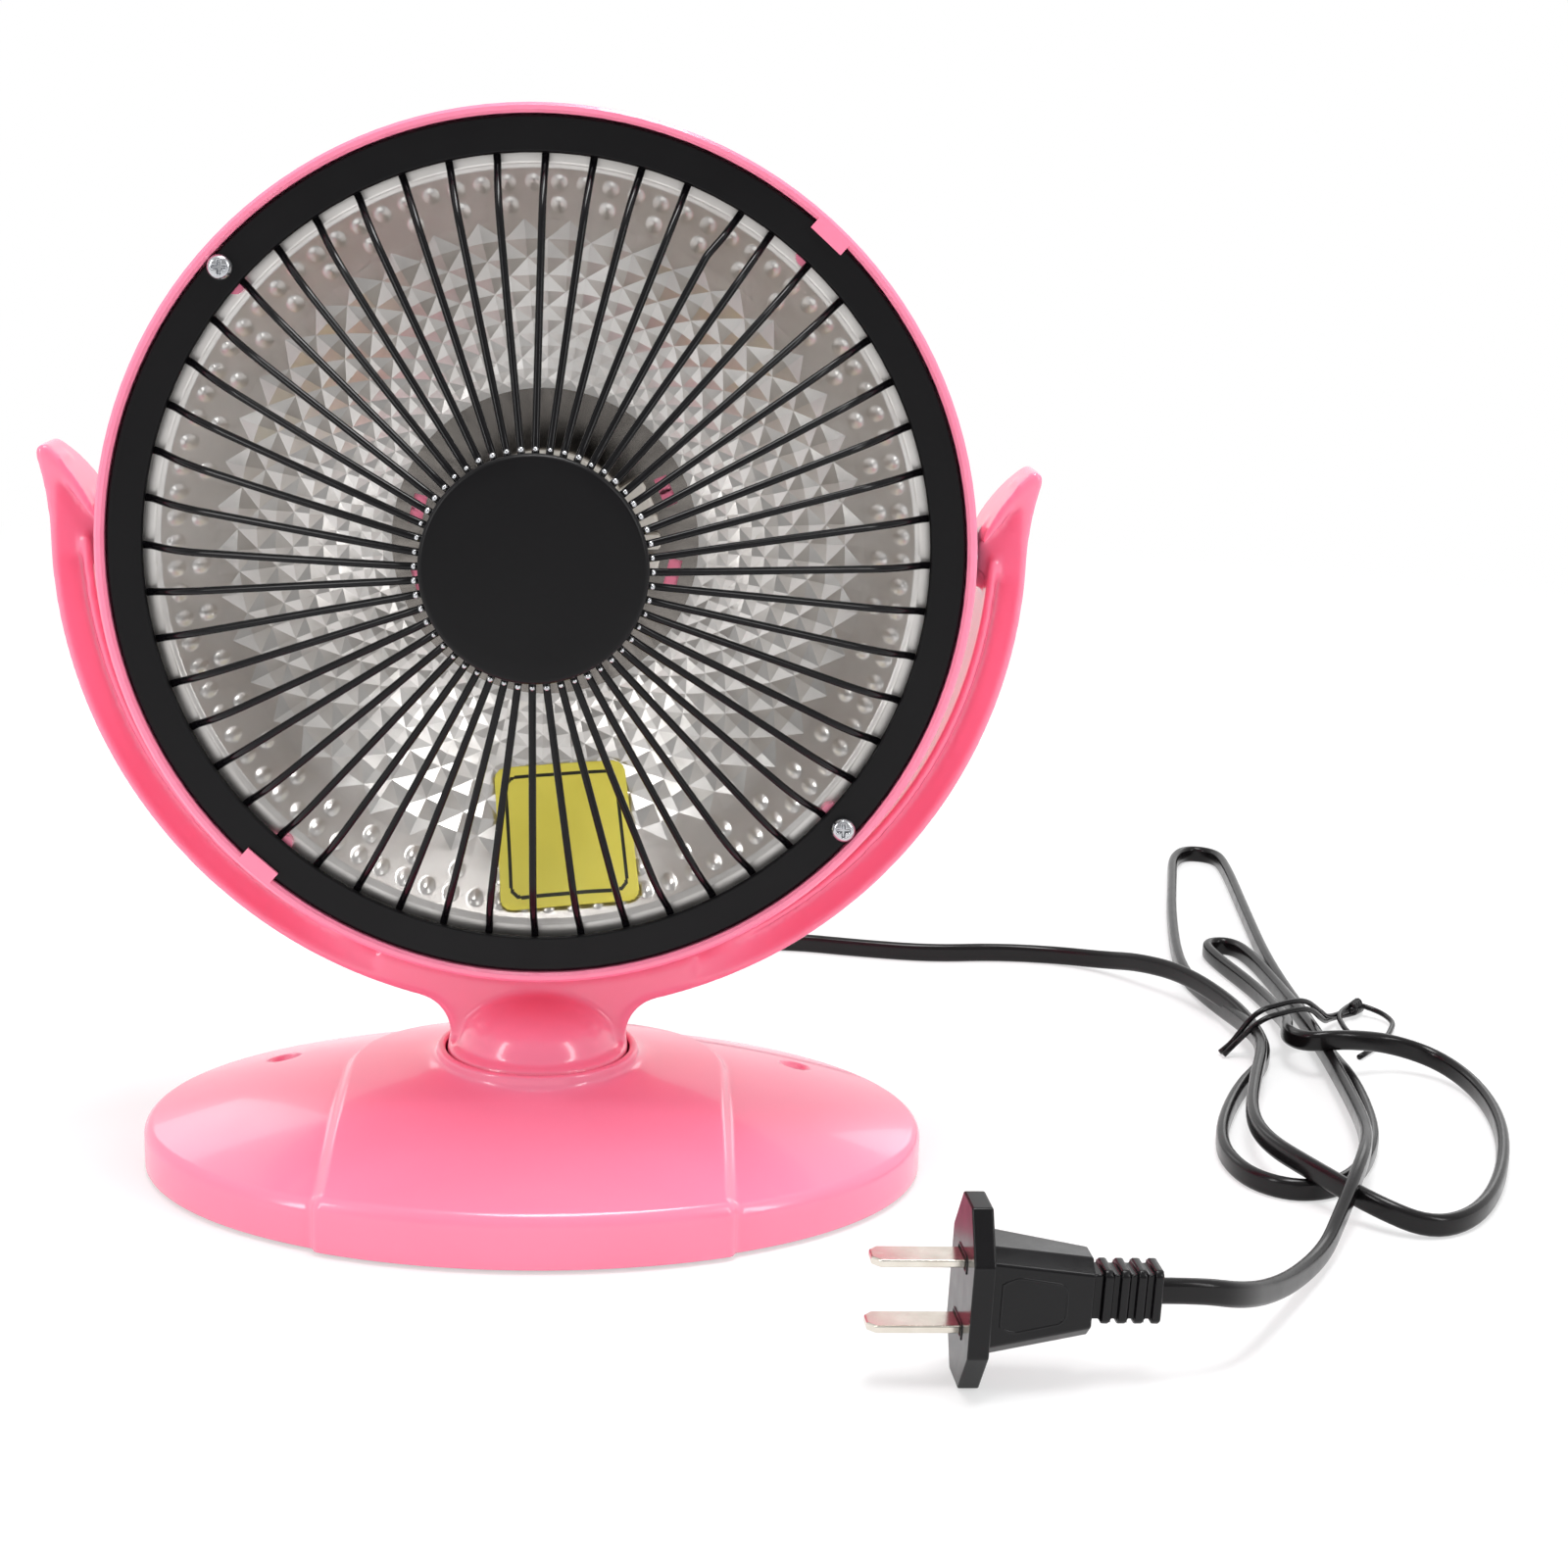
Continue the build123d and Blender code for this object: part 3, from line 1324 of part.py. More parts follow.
with BuildPart() as cord_gland:
    with BuildSketch(exit_plane.offset(gland_inner)):
        SlotOverall(gland_width + 2 * gland_flange, gland_height + 2 * gland_flange)
    extrude(amount=gland_flange_thickness)
    with BuildSketch(exit_plane.offset(gland_inner)):
        SlotOverall(gland_width, gland_height)
    extrude(amount=relief_start - gland_inner)
finish(cord_gland, "cord_gland")

with BuildPart() as cord_relief:
    with BuildSketch(exit_plane.offset(relief_start)):
        SlotOverall(gland_width, gland_height)
    with BuildSketch(exit_plane.offset(relief_tip)):
        SlotOverall(relief_tip_width, relief_tip_height)
    loft()
finish(cord_relief, "cord_relief")


with BuildPart() as foot_leads:
    with BuildLine() as foot_lead_line:
        FilletPolyline(
            (cord_exit_x, gland_inner, cord_exit_z),
            (cord_exit_x, gland_inner - lead_bend_y, cord_exit_z),
            (foot_lead_x, gland_inner - 2 * lead_bend_y, cord_exit_z),
            (foot_lead_x, tip_switch_y, cord_exit_z),
            (tip_switch_size / 2, tip_switch_y, cord_exit_z),
            radius=lead_bend_radius,
        )
    with BuildSketch(Plane(origin=foot_lead_line.line @ 0, z_dir=foot_lead_line.line % 0)):
        RegularPolygon(loom_radius, wire_sides)
    sweep()
finish(foot_leads, "foot_leads")


# Mains cord: the run that leaves the foot, the loose loops under the tie, and the run to the plug

cord_height = cord_radius
relief_run = 14.0
run_points = [
    (cord_exit_x, relief_tip, cord_exit_z),
    (cord_exit_x, relief_tip + relief_run, cord_exit_z),
    (11.5, 117.0, cord_height),
    (20.0, 139.0, cord_height),
    (39.0, 155.0, cord_height),
    (62.0, 158.0, cord_height),
    (84.0, 152.0, cord_height),
    (103.0, 148.5, cord_height),
    (121.0, 151.0, cord_height),
    (138.0, 149.0, cord_height),
    (150.0, 142.0, cord_height),
    (158.0, 131.0, cord_height),
]
plug_axis = (plug_tail - plug_face).normalized()
lead_points = [
    (167.3, -40.5, cord_height),
    (161.27, -52.65, cord_height),
    (151.5, -68.5, 5.0),
    (142.0, -83.5, 9.0),
    (133.5, -95.5, 13.8),
    plug_tail + plug_axis * 8.5,
    plug_tail,
]
hank_loops = [
    [
        (158.0, 131.0), (167.6, 117.8), (176.0, 96.0), (179.0, 79.0), (177.0, 63.0), (164.0, 41.0),
        (153.0, 10.0), (154.0, -9.0), (162.0, -18.0), (172.0, -17.0), (180.0, -9.0), (188.0, 7.0),
        (192.0, 23.0), (195.0, 49.0), (194.0, 68.0), (195.0, 91.0), (196.0, 141.0), (201.0, 191.0),
        (207.0, 247.0), (206.0, 259.0), (197.0, 262.0), (191.0, 251.0), (187.0, 231.0), (178.0, 188.0),
        (170.0, 137.0), (173.0, 113.0), (177.0, 79.0),
    ],
    [
        (177.0, 79.0), (176.0, 60.0), (167.0, 35.0), (161.0, 13.0), (161.0, -3.0), (167.0, -18.0),
        (177.0, -33.0), (188.0, -38.0), (200.0, -31.0), (212.0, -10.0), (222.0, 19.0), (225.0, 45.0),
        (220.0, 61.0), (208.0, 65.0), (195.0, 60.0), (185.0, 60.0), (183.0, 71.0), (187.0, 83.0),
    ],
    [
        (187.0, 83.0), (188.0, 103.0), (187.0, 123.0), (182.0, 149.0), (182.0, 160.0), (190.0, 161.0),
        (193.0, 149.0), (194.0, 124.0), (193.0, 95.0), (192.0, 68.0), (190.0, 37.0), (186.5, 9.0),
        (180.5, -12.0), (174.0, -27.0), (167.3, -40.5),
    ],
]


def bend_radii(points):
    """Radius at each corner of a cord's path: as wide as its shorter run allows."""
    radii = []
    for before, corner, after in zip(points, points[1:], points[2:]):
        first = corner - before
        second = after - corner
        half_turn = radians(first.get_angle(second)) / 2
        radii.append(bend_share * min(first.length, second.length) / tan(half_turn))
    return radii


def cord_tube(name, points):
    """Cord along straight runs joined by tangent arcs."""
    corners = [Vector(*point) for point in points]
    radii = bend_radii(corners)
    with BuildPart() as tube:
        with BuildLine() as route:
            FilletPolyline(*corners, radius=radii)
        with BuildSketch(Plane(origin=route.line @ 0, z_dir=route.line % 0)) as section:
            RegularPolygon(cord_radius, cord_sides)
        sweep()
    expected = section.sketch.area * sum(edge.length for edge in route.line.edges())
    print(name, "bend radii", [round(radius, 1) for radius in radii])
    print(name, "volume", round(tube.part.volume), "against section by length", round(expected))
    finish(tube, name)


cord_tube("cord_run", run_points)
cord_tube("cord_lead", lead_points)

with BuildPart() as cord_hank:
    with BuildSketch():
        for loop in hank_loops:
            corners = [Vector(*point) for point in loop]
            radii = bend_radii(corners)
            print("cord_hank bend radii", [round(radius, 1) for radius in radii])
            with BuildLine():
                FilletPolyline(*corners, radius=radii)
            trace(line_width=2 * cord_radius)
    extrude(amount=2 * cord_radius)
finish(cord_hank, "cord_hank")

tie_height = 2 * cord_radius + tie_radius + seat_gap
tie_points = [
    (168.0, 73.0, tie_radius),
    (170.0, 74.0, tie_height),
    (200.0, 82.0, tie_height),
    (202.5, 83.0, tie_radius),
    (214.0, 95.0, tie_radius),
    (211.0, 106.0, tie_radius),
]

with BuildPart() as twist_tie:
    with BuildLine() as tie_line:
        Polyline(*tie_points)
    with BuildSketch(Plane(origin=tie_line.line @ 0, z_dir=tie_line.line % 0)):
        RegularPolygon(tie_radius, wire_sides)
    sweep(transition=Transition.RIGHT)
finish(twist_tie, "twist_tie")


# Plug: flange, grip and ribbed relief along one axis, with two flat blades

plug_up = (Vector(0, 0, 1) - plug_axis * plug_axis.Z).normalized()
plug_plane = Plane(origin=plug_face, x_dir=plug_up, z_dir=plug_axis)
plug_length = (plug_tail - plug_face).length
relief_pitch = plug_relief_length / plug_rib_count


def grip_face(height, width, corner):
    """Section of the plug's grip: a rectangle with cut corners."""
    with BuildSketch() as face:
        Rectangle(height, width)
        chamfer(face.vertices(), corner)
    return face.sketch


with BuildPart() as plug_body:
    with BuildSketch(plug_plane):
        with BuildLine():
            Polyline(
                (plug_flange_length / 2, plug_flange_tip / 2),
                (plug_flange_length / 4, plug_flange_width / 2),
                (-plug_flange_length / 4, plug_flange_width / 2),
                (-plug_flange_length / 2, plug_flange_tip / 2),
                (-plug_flange_length / 2, -plug_flange_tip / 2),
                (-plug_flange_length / 4, -plug_flange_width / 2),
                (plug_flange_length / 4, -plug_flange_width / 2),
                (plug_flange_length / 2, -plug_flange_tip / 2),
                close=True,
            )
        make_face()
    extrude(amount=plug_flange_thickness)
    with BuildSketch(plug_plane.offset(plug_flange_thickness)):
        add(grip_face(plug_body_height, plug_body_width, plug_body_corner))
    with BuildSketch(plug_plane.offset(plug_flange_thickness + plug_body_length)):
        add(grip_face(plug_waist_height, plug_waist_width, plug_body_corner))
    loft()
    with BuildSketch(plug_plane.offset(plug_flange_thickness + plug_body_length)):
        Rectangle(plug_relief_height - 2 * plug_rib_depth, plug_relief_width - 2 * plug_rib_depth)
    extrude(amount=plug_length - plug_flange_thickness - plug_body_length)
    for rib in range(plug_rib_count):
        rib_start = plug_length - plug_rib_width - rib * relief_pitch
        with BuildSketch(plug_plane.offset(rib_start)):
            add(grip_face(plug_relief_height, plug_relief_width, plug_rib_depth))
        extrude(amount=plug_rib_width)
    with BuildSketch(plug_plane):
        with Locations((-blade_spacing / 2, 0), (blade_spacing / 2, 0)):
            Rectangle(blade_thickness + seat_gap, blade_width + seat_gap)
    extrude(amount=blade_root + seat_gap, mode=Mode.SUBTRACT)
finish(plug_body, "plug_body")

with BuildPart() as plug_blades:
    with BuildSketch(plug_plane.offset(blade_root)):
        with Locations((-blade_spacing / 2, 0), (blade_spacing / 2, 0)):
            Rectangle(blade_thickness, blade_width)
    extrude(amount=-blade_root - blade_length)
    tips = edges().group_by(Axis(plug_face, plug_axis))[0].filter_by(lambda e: e.length < blade_width / 2)
    chamfer(tips, blade_thickness)
finish(plug_blades, "plug_blades")
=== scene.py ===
import math
import random

import bmesh
import bpy
from mathutils import Matrix, Vector


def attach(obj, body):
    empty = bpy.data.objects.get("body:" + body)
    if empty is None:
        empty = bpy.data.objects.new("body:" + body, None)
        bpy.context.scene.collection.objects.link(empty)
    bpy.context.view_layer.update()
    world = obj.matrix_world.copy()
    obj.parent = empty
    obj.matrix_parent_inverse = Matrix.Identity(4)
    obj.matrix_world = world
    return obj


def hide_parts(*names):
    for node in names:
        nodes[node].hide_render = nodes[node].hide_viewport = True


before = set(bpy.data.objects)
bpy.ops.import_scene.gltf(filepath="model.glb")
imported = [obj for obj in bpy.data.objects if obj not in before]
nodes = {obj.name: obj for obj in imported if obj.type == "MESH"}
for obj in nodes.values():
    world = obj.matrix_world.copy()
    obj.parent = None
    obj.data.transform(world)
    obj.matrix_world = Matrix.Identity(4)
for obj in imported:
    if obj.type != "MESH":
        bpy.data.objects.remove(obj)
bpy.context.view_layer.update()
mm = 0.001
random.seed(11)
print("frame loaded")


# Shared helpers

def linearColor(hexText):
    channels = []
    for start in (1, 3, 5):
        value = int(hexText[start:start + 2], 16) / 255
        channels.append(value / 12.92 if value <= 0.04045 else ((value + 0.055) / 1.055) ** 2.4)
    return (*channels, 1.0)


def addNode(tree, kind, inputs=None, **settings):
    # one shader node with its settings, and its input values or links
    node = tree.nodes.new(kind)
    for key, value in settings.items():
        setattr(node, key, value)
    for key, value in (inputs or {}).items():
        if isinstance(value, bpy.types.NodeSocket):
            tree.links.new(value, node.inputs[key])
        else:
            node.inputs[key].default_value = value
    return node


def newSurface(name, values, tones, toneNoise, roughNoise, roughRange, reliefNoise, relief,
               toneSpan=(0, 1)):
    # a Principled material with its plain values, two tones, a range of roughness and a fine relief
    # a noise is (size of its features in mm, detail), and relief is (depth in mm, strength)
    material = bpy.data.materials.new(name)
    material.use_nodes = True
    tree = material.node_tree
    shader = tree.nodes["Principled BSDF"]
    for key, value in values.items():
        shader.inputs[key].default_value = value
    point = addNode(tree, "ShaderNodeTexCoord").outputs["Object"]
    fields = []
    for size, detail in (toneNoise, roughNoise, reliefNoise):
        inputs = {"Vector": point, "Scale": 1 / (size * mm), "Detail": detail}
        fields.append(addNode(tree, "ShaderNodeTexNoise", inputs).outputs["Fac"])
    toneShare = addNode(tree, "ShaderNodeMapRange", {
        "Value": fields[0], "From Min": toneSpan[0], "From Max": toneSpan[1], "To Min": 0, "To Max": 1})
    low, high = (linearColor(tone) for tone in tones)
    tone = addNode(tree, "ShaderNodeMix", {
        0: toneShare.outputs["Result"], 6: low, 7: high}, data_type="RGBA")
    tree.links.new(tone.outputs[2], shader.inputs["Base Color"])
    low, high = roughRange
    rough = addNode(tree, "ShaderNodeMapRange", {
        "Value": fields[1], "From Min": 0.3, "From Max": 0.7, "To Min": low, "To Max": high})
    tree.links.new(rough.outputs["Result"], shader.inputs["Roughness"])
    bump = addNode(tree, "ShaderNodeBump", {
        "Height": fields[2], "Distance": relief[0] * mm, "Strength": relief[1]})
    tree.links.new(bump.outputs["Normal"], shader.inputs["Normal"])
    return material


def repaint(material, *names):
    for name in names:
        for slot in nodes[name].material_slots:
            slot.material = material


def meshObject(name, vertices, faces, materials, smooth=True):
    mesh = bpy.data.meshes.new(name)
    mesh.from_pydata([tuple(v) for v in vertices], [], faces)
    mesh.update()
    for material in materials:
        mesh.materials.append(material)
    mesh.polygons.foreach_set("use_smooth", [smooth] * len(mesh.polygons))
    obj = bpy.data.objects.new(name, mesh)
    bpy.context.scene.collection.objects.link(obj)
    return obj


def gridFaces(rows, columns, closedColumns=True, closedRows=False):
    # quads of a grid of rows by columns, numbered row by row
    faces = []
    for row in range(rows if closedRows else rows - 1):
        below = (row + 1) % rows
        for column in range(columns if closedColumns else columns - 1):
            side = (column + 1) % columns
            faces.append((row * columns + column, row * columns + side, below * columns + side,
                          below * columns + column))
    return faces


def place(obj, body, slot, *replaced):
    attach(obj, body)
    if replaced:
        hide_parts(*replaced)
    return obj


def smoothStep(value, low, high):
    share = min(1.0, max(0.0, (value - low) / (high - low)))
    return share * share * (3 - 2 * share)


def roundedPath(points, radius, steps=5):
    # a line through the points, with each inner corner turned into a short curve
    path = [Vector(points[0])]
    for before, corner, after in zip(points, points[1:], points[2:]):
        before, corner, after = Vector(before), Vector(corner), Vector(after)
        reach = min(radius, (before - corner).length * 0.48, (after - corner).length * 0.48)
        first = corner + (before - corner).normalized() * reach
        last = corner + (after - corner).normalized() * reach
        for step in range(steps + 1):
            share = step / steps
            path.append(first * (1 - share) ** 2 + corner * 2 * share * (1 - share) + last * share ** 2)
    path.append(Vector(points[-1]))
    return path


def tubeMesh(path, radius, sides, capped=True):
    # vertices and faces of a round tube along a path
    vertices = []
    normal = None
    for index, point in enumerate(path):
        ahead = path[min(index + 1, len(path) - 1)] - path[max(index - 1, 0)]
        ahead.normalize()
        if normal is None:
            normal = ahead.orthogonal().normalized()
        normal = (normal - ahead * normal.dot(ahead)).normalized()
        side = ahead.cross(normal)
        thickness = radius[index] if isinstance(radius, list) else radius
        for turn in range(sides):
            angle = 2 * math.pi * turn / sides
            vertices.append(point + (normal * math.cos(angle) + side * math.sin(angle)) * thickness)
    faces = gridFaces(len(path), sides)
    if capped:
        faces.append(tuple(range(sides - 1, -1, -1)))
        faces.append(tuple(range((len(path) - 1) * sides, len(path) * sides)))
    return vertices, faces


def joined(parts):
    # one list of vertices and faces from several
    vertices, faces = [], []
    for partVertices, partFaces in parts:
        start = len(vertices)
        vertices.extend(partVertices)
        faces.extend(tuple(index + start for index in face) for face in partFaces)
    return vertices, faces


# Head's own axes: right, up and forward from the tilt pivot

lean = math.radians(3.0)
headOrigin = Vector((0, 11.7, 134.473)) * mm
headFrame = Matrix((
    (1, 0, 0, headOrigin.x),
    (0, math.sin(lean), -math.cos(lean), headOrigin.y),
    (0, math.cos(lean), math.sin(lean), headOrigin.z),
    (0, 0, 0, 1),
))


def onHead(right, up, forward):
    return headFrame @ (Vector((right, up, forward)) * mm)


def polarOnHead(radius, angle, forward):
    return onHead(radius * math.cos(angle), radius * math.sin(angle), forward)


def lathed(profile, steps=192, closed=True):
    # a profile of (radius, forward) points turned about the head's axis
    vertices = []
    for radius, forward in profile:
        for step in range(steps):
            vertices.append(polarOnHead(radius, 2 * math.pi * step / steps, forward))
    return vertices, gridFaces(len(profile), steps, True, closed)


# Materials

# A range of roughness that crosses 0.27 leaves blotches after denoising, so each stays on one side of it

def polishedAbs(name, *tones):
    # injection-moulded ABS from a polished tool: glossy, with faint flow marks
    values = {"IOR": 1.53, "Coat Weight": 0.35, "Coat Roughness": 0.05}
    return newSurface(name, values, tones, (55, 4), (16, 3), (0.2, 0.26), (2.5, 2), (0.01, 0.2), (0.3, 0.7))


def bakedEnamel(name, rough, *tones):
    # black baked enamel on steel: deep, with a slight orange peel
    values = {"IOR": 1.5, "Specular IOR Level": 0.22}
    return newSurface(name, values, tones, (30, 3), (12, 3), (rough - 0.04, rough + 0.05), (1.6, 3),
                      (0.02, 0.25))


def zincPlate(name, *tones):
    # zinc plating: bright, with fine brushing and patches
    return newSurface(name, {"Metallic": 1}, tones, (2.5, 3), (0.7, 3), (0.18, 0.26), (0.4, 3), (0.01, 0.4))


def rolledAluminium(name, rough, *tones):
    # rolled aluminium sheet: bright, slightly hazy, with fine rolling marks
    return newSurface(name, {"Metallic": 1}, tones, (22, 4), (5, 3), (rough - 0.03, rough + 0.05), (1.2, 2),
                      (0.02, 0.3), (0.3, 0.7))


def softPvc(name, *tones):
    # plasticised PVC: a soft sheen over a fine grain
    values = {"IOR": 1.5, "Specular IOR Level": 0.28}
    return newSurface(name, values, tones, (9, 3), (4, 3), (0.18, 0.26), (0.6, 3), (0.02, 0.3))


def firedSteatite(name, *tones):
    # fired steatite: white and matte, with faint specks
    return newSurface(name, {"IOR": 1.55}, tones, (2, 5), (5, 3), (0.5, 0.75), (0.6, 4), (0.04, 0.4))


def sparkPolypropylene(name, *tones):
    # moulded polypropylene: matte, from a spark-eroded tool
    return newSurface(name, {"IOR": 1.49}, tones, (20, 3), (5, 3), (0.45, 0.6), (0.7, 3), (0.05, 0.5))


def castIron(name, *tones):
    # sand-cast iron: dark, with a coarse skin
    return newSurface(name, {"Metallic": 0.8}, tones, (7, 5), (11, 3), (0.55, 0.8), (1.2, 5), (0.2, 0.5))


def nickelBrass(name, *tones):
    # nickel-plated brass: warm white, with light handling marks
    return newSurface(name, {"Metallic": 1}, tones, (4, 4), (1.1, 3), (0.16, 0.25), (0.4, 3), (0.01, 0.3))


def drawnNichrome(name, *tones):
    # drawn nickel-chrome wire: dull grey with heat tints
    return newSurface(name, {"Metallic": 1}, tones, (6, 3), (1.5, 3), (0.35, 0.5), (0.5, 3), (0.01, 0.3))


def printedVinyl(name, *tones):
    # vinyl label: plain, with a low sheen
    return newSurface(name, {"IOR": 1.5}, tones, (14, 3), (6, 3), (0.4, 0.5), (2.5, 3), (0.02, 0.3))


pink = polishedAbs("pinkAbs", "#FF86A6", "#FF8AAA")
enamel = bakedEnamel("blackEnamel", 0.32, "#060507", "#0E0D0F")
wireEnamel = bakedEnamel("wireEnamel", 0.16, "#060507", "#0E0D0F")
zinc = zincPlate("zincPlate", "#A9ABAF", "#DCDDE0")
sheet = rolledAluminium("brightAluminium", 0.33, "#DEDAD6", "#F2EFEC")
mirror = rolledAluminium("polishedAluminium", 0.14, "#8D8782", "#A59F99")
sheath = softPvc("softPvc", "#0D0C0D", "#151314")
plugPvc = softPvc("plugPvc", "#0A090B", "#100F11")
padRubber = softPvc("padRubber", "#161516", "#242324")
ceramic = firedSteatite("steatite", "#D9D2C6", "#F3EFE8")
greyPolymer = sparkPolypropylene("greyPolypropylene", "#4B4A4B", "#5B5A5B")
blackPolymer = sparkPolypropylene("blackPolypropylene", "#121113", "#1C1B1D")
iron = castIron("castIron", "#3B3A3B", "#5B5856")
brass = nickelBrass("nickelBrass", "#CFC6B8", "#F0EBE2")
nichrome = drawnNichrome("resistanceWire", "#6B6460", "#9A928B")
yellowVinyl = printedVinyl("yellowVinyl", "#F0E058", "#FBEE6A")
printBlack = printedVinyl("printBlack", "#1E1E14", "#2A2A1C")

repaint(pink, "foot_shell", "yoke_front", "yoke_cover", "pivot_caps", "rear_housing")
repaint(enamel, "guard_ring", "hub_cap", "hub_plate")
repaint(wireEnamel, "guard_wires")
repaint(sheet, "reflector")
repaint(zinc, "foot_screws", "weight_screws", "yoke_screws", "ring_screws", "bracket_screws",
        "element_bolt", "element_nut", "element_bracket", "swivel_clip", "pivot_clips", "pivot_bushes",
        "hub_rivet")
repaint(nichrome, "heating_coil")
repaint(greyPolymer, "foot_cover", "tip_over_switch", "thermal_cutout", "foot_leads", "yoke_leads",
        "head_leads", "pivot_washers", "swivel_washer")
repaint(blackPolymer, "switch_case", "rocker", "terminal_block")
repaint(iron, "counterweights")
repaint(ceramic, "ceramic_former")
repaint(padRubber, "foot_pads")
repaint(sheath, "cord_gland", "cord_relief", "cord_run", "cord_hank", "cord_lead", "twist_tie")
repaint(plugPvc, "plug_body")
repaint(brass, "plug_blades")
print("materials made")


# Edges of the CAD pieces that stay are eased, as a mould or a press leaves them

# width of the easing in millimetres, and the angle from which an edge gets it
easing = {
    "yoke_cover": (0.5, 28), "rear_housing": (0.4, 28), "plug_body": (0.7, 20), "plug_blades": (0.35, 20),
    "guard_ring": (0.35, 28),
}


def easeEdges(node, width, angle):
    weld = node.modifiers.new("weld", "WELD")
    weld.merge_threshold = 0.01 * mm
    dissolve = node.modifiers.new("flats", "DECIMATE")
    dissolve.decimate_type = "DISSOLVE"
    dissolve.angle_limit = math.radians(1.0)
    bevel = node.modifiers.new("ease", "BEVEL")
    bevel.width = width * mm
    bevel.segments = 3
    bevel.limit_method = "ANGLE"
    bevel.angle_limit = math.radians(angle)
    node.modifiers.new("normals", "WEIGHTED_NORMAL")


for nodeName, (easeWidth, easeAngle) in easing.items():
    easeEdges(nodes[nodeName], easeWidth, easeAngle)
print("edges eased")


# Scoops: the yoke's trough runs out in a hollow curve to its outer edge

scoop = {
    "outer": 99.6, "lipRadius": 95.0, "cheekRadius": 91.2, "front": 9.3, "deep": 3.8, "back": 1.0,
    "start": 19.5, "runOut": 36.0, "end": 99.6, "steps": 120, "across": 10, "pivot": (11.7, 134.473),
    "lipEnd": (-4.5, -3), "cheekEnd": (4, 17), "hollow": 1.2, "overlap": 0.2,
}
yoke = {"weld": 0.01, "voxel": 0.6, "roundings": 20, "roundingShare": 0.5}


def scoopSection(turn, side):
    # one section of the hollow, at an angle from the bottom of the yoke
    angle = math.radians(turn - 90)
    up = scoop["outer"] * math.sin(angle)
    lip, cheek, outer = scoop["lipRadius"], scoop["cheekRadius"], scoop["outer"]
    inner = lip + (cheek - lip) * smoothStep(up, *scoop["lipEnd"])
    inner += (outer - scoop["overlap"] - inner) * smoothStep(up, *scoop["cheekEnd"])
    front = scoop["front"]
    deep = front + (scoop["deep"] - front) * smoothStep(turn, scoop["start"], scoop["runOut"])
    corners = []
    for step in range(scoop["across"] + 1):
        share = step / scoop["across"]
        corners.append((inner + (outer - inner) * share, deep + (front - deep) * share ** scoop["hollow"]))
    corners += [(outer, scoop["back"]), (inner, scoop["back"])]
    middle, height = scoop["pivot"]
    section = []
    for radius, forward in corners:
        spot = (side * radius * math.cos(angle), middle - forward, height + radius * math.sin(angle))
        section.append(Vector(spot) * mm)
    return section


def scoopMesh(side):
    vertices = []
    for step in range(scoop["steps"] + 1):
        turn = scoop["start"] + (scoop["end"] - scoop["start"]) * step / scoop["steps"]
        vertices += scoopSection(turn, side)
    wide = scoop["across"] + 3
    faces = gridFaces(scoop["steps"] + 1, wide)
    faces.append(tuple(range(wide)))
    faces.append(tuple(range(scoop["steps"] * wide + wide - 1, scoop["steps"] * wide - 1, -1)))
    return vertices, faces


def turnedOut(obj):
    # all faces of the piece look outward
    cleaned = bmesh.new()
    cleaned.from_mesh(obj.data)
    bmesh.ops.recalc_face_normals(cleaned, faces=cleaned.faces)
    cleaned.to_mesh(obj.data)
    cleaned.free()
    return obj


armMesh = nodes["yoke_front"].data
armVertices = [nodes["yoke_front"].matrix_world @ vertex.co for vertex in armMesh.vertices]
armFaces = [tuple(polygon.vertices) for polygon in armMesh.polygons]
yokeVertices, yokeFaces = joined([(armVertices, armFaces), scoopMesh(-1), scoopMesh(1)])
yokeFront = turnedOut(meshObject("yokeFront", yokeVertices, yokeFaces, [pink]))
yokeWeld = yokeFront.modifiers.new("weld", "WELD")
yokeWeld.merge_threshold = yoke["weld"] * mm
mould = yokeFront.modifiers.new("mould", "REMESH")
mould.mode = "VOXEL"
mould.voxel_size = yoke["voxel"] * mm
mould.use_smooth_shade = True
rounding = yokeFront.modifiers.new("rounding", "SMOOTH")
rounding.factor = yoke["roundingShare"]
rounding.iterations = yoke["roundings"]
place(yokeFront, "yoke", "pink_plastic", "yoke_front")
print("yoke made")


# Foot shell: an oval dome with a raised front panel and a flared collar round the swivel

foot = {
    "halfWidth": 84.0, "halfDepth": 59.0, "middle": 0.7, "rim": 10.0, "crown": 22.0, "lift": 0.8,
    "wall": 2.4, "edge": 2.4, "panelRise": 1.4, "panelHalf": 42.0, "panelSquare": 5.0, "panelRound": 44.0,
    "panelSoft": 2.2, "swivelY": 3.0, "collarBore": 19.9, "collarRadius": 21.8, "collarTop": 26.0,
    "collarFoot": 29.5, "collarBack": 13.0, "collarBend": 0.7, "collarSide": 1.6, "flareSteps": 14,
    "flarePower": 1.4, "dimpleX": 57.5, "dimpleY": 22.0, "dimpleRadius": 3.5, "dimpleSoft": 0.8,
    "dimpleDepth": 1.2, "turns": 540, "rings": 104,
}


def footPanel(x, y):
    # 1 on the raised panel, 0 beside it, with a soft step between
    across = foot["panelHalf"]
    if y > foot["panelSquare"]:
        reach = math.hypot(x / across, (y - foot["panelSquare"]) / foot["panelRound"]) * across
    else:
        reach = abs(x)
    return 1 - smoothStep(reach, across - foot["panelSoft"], across)


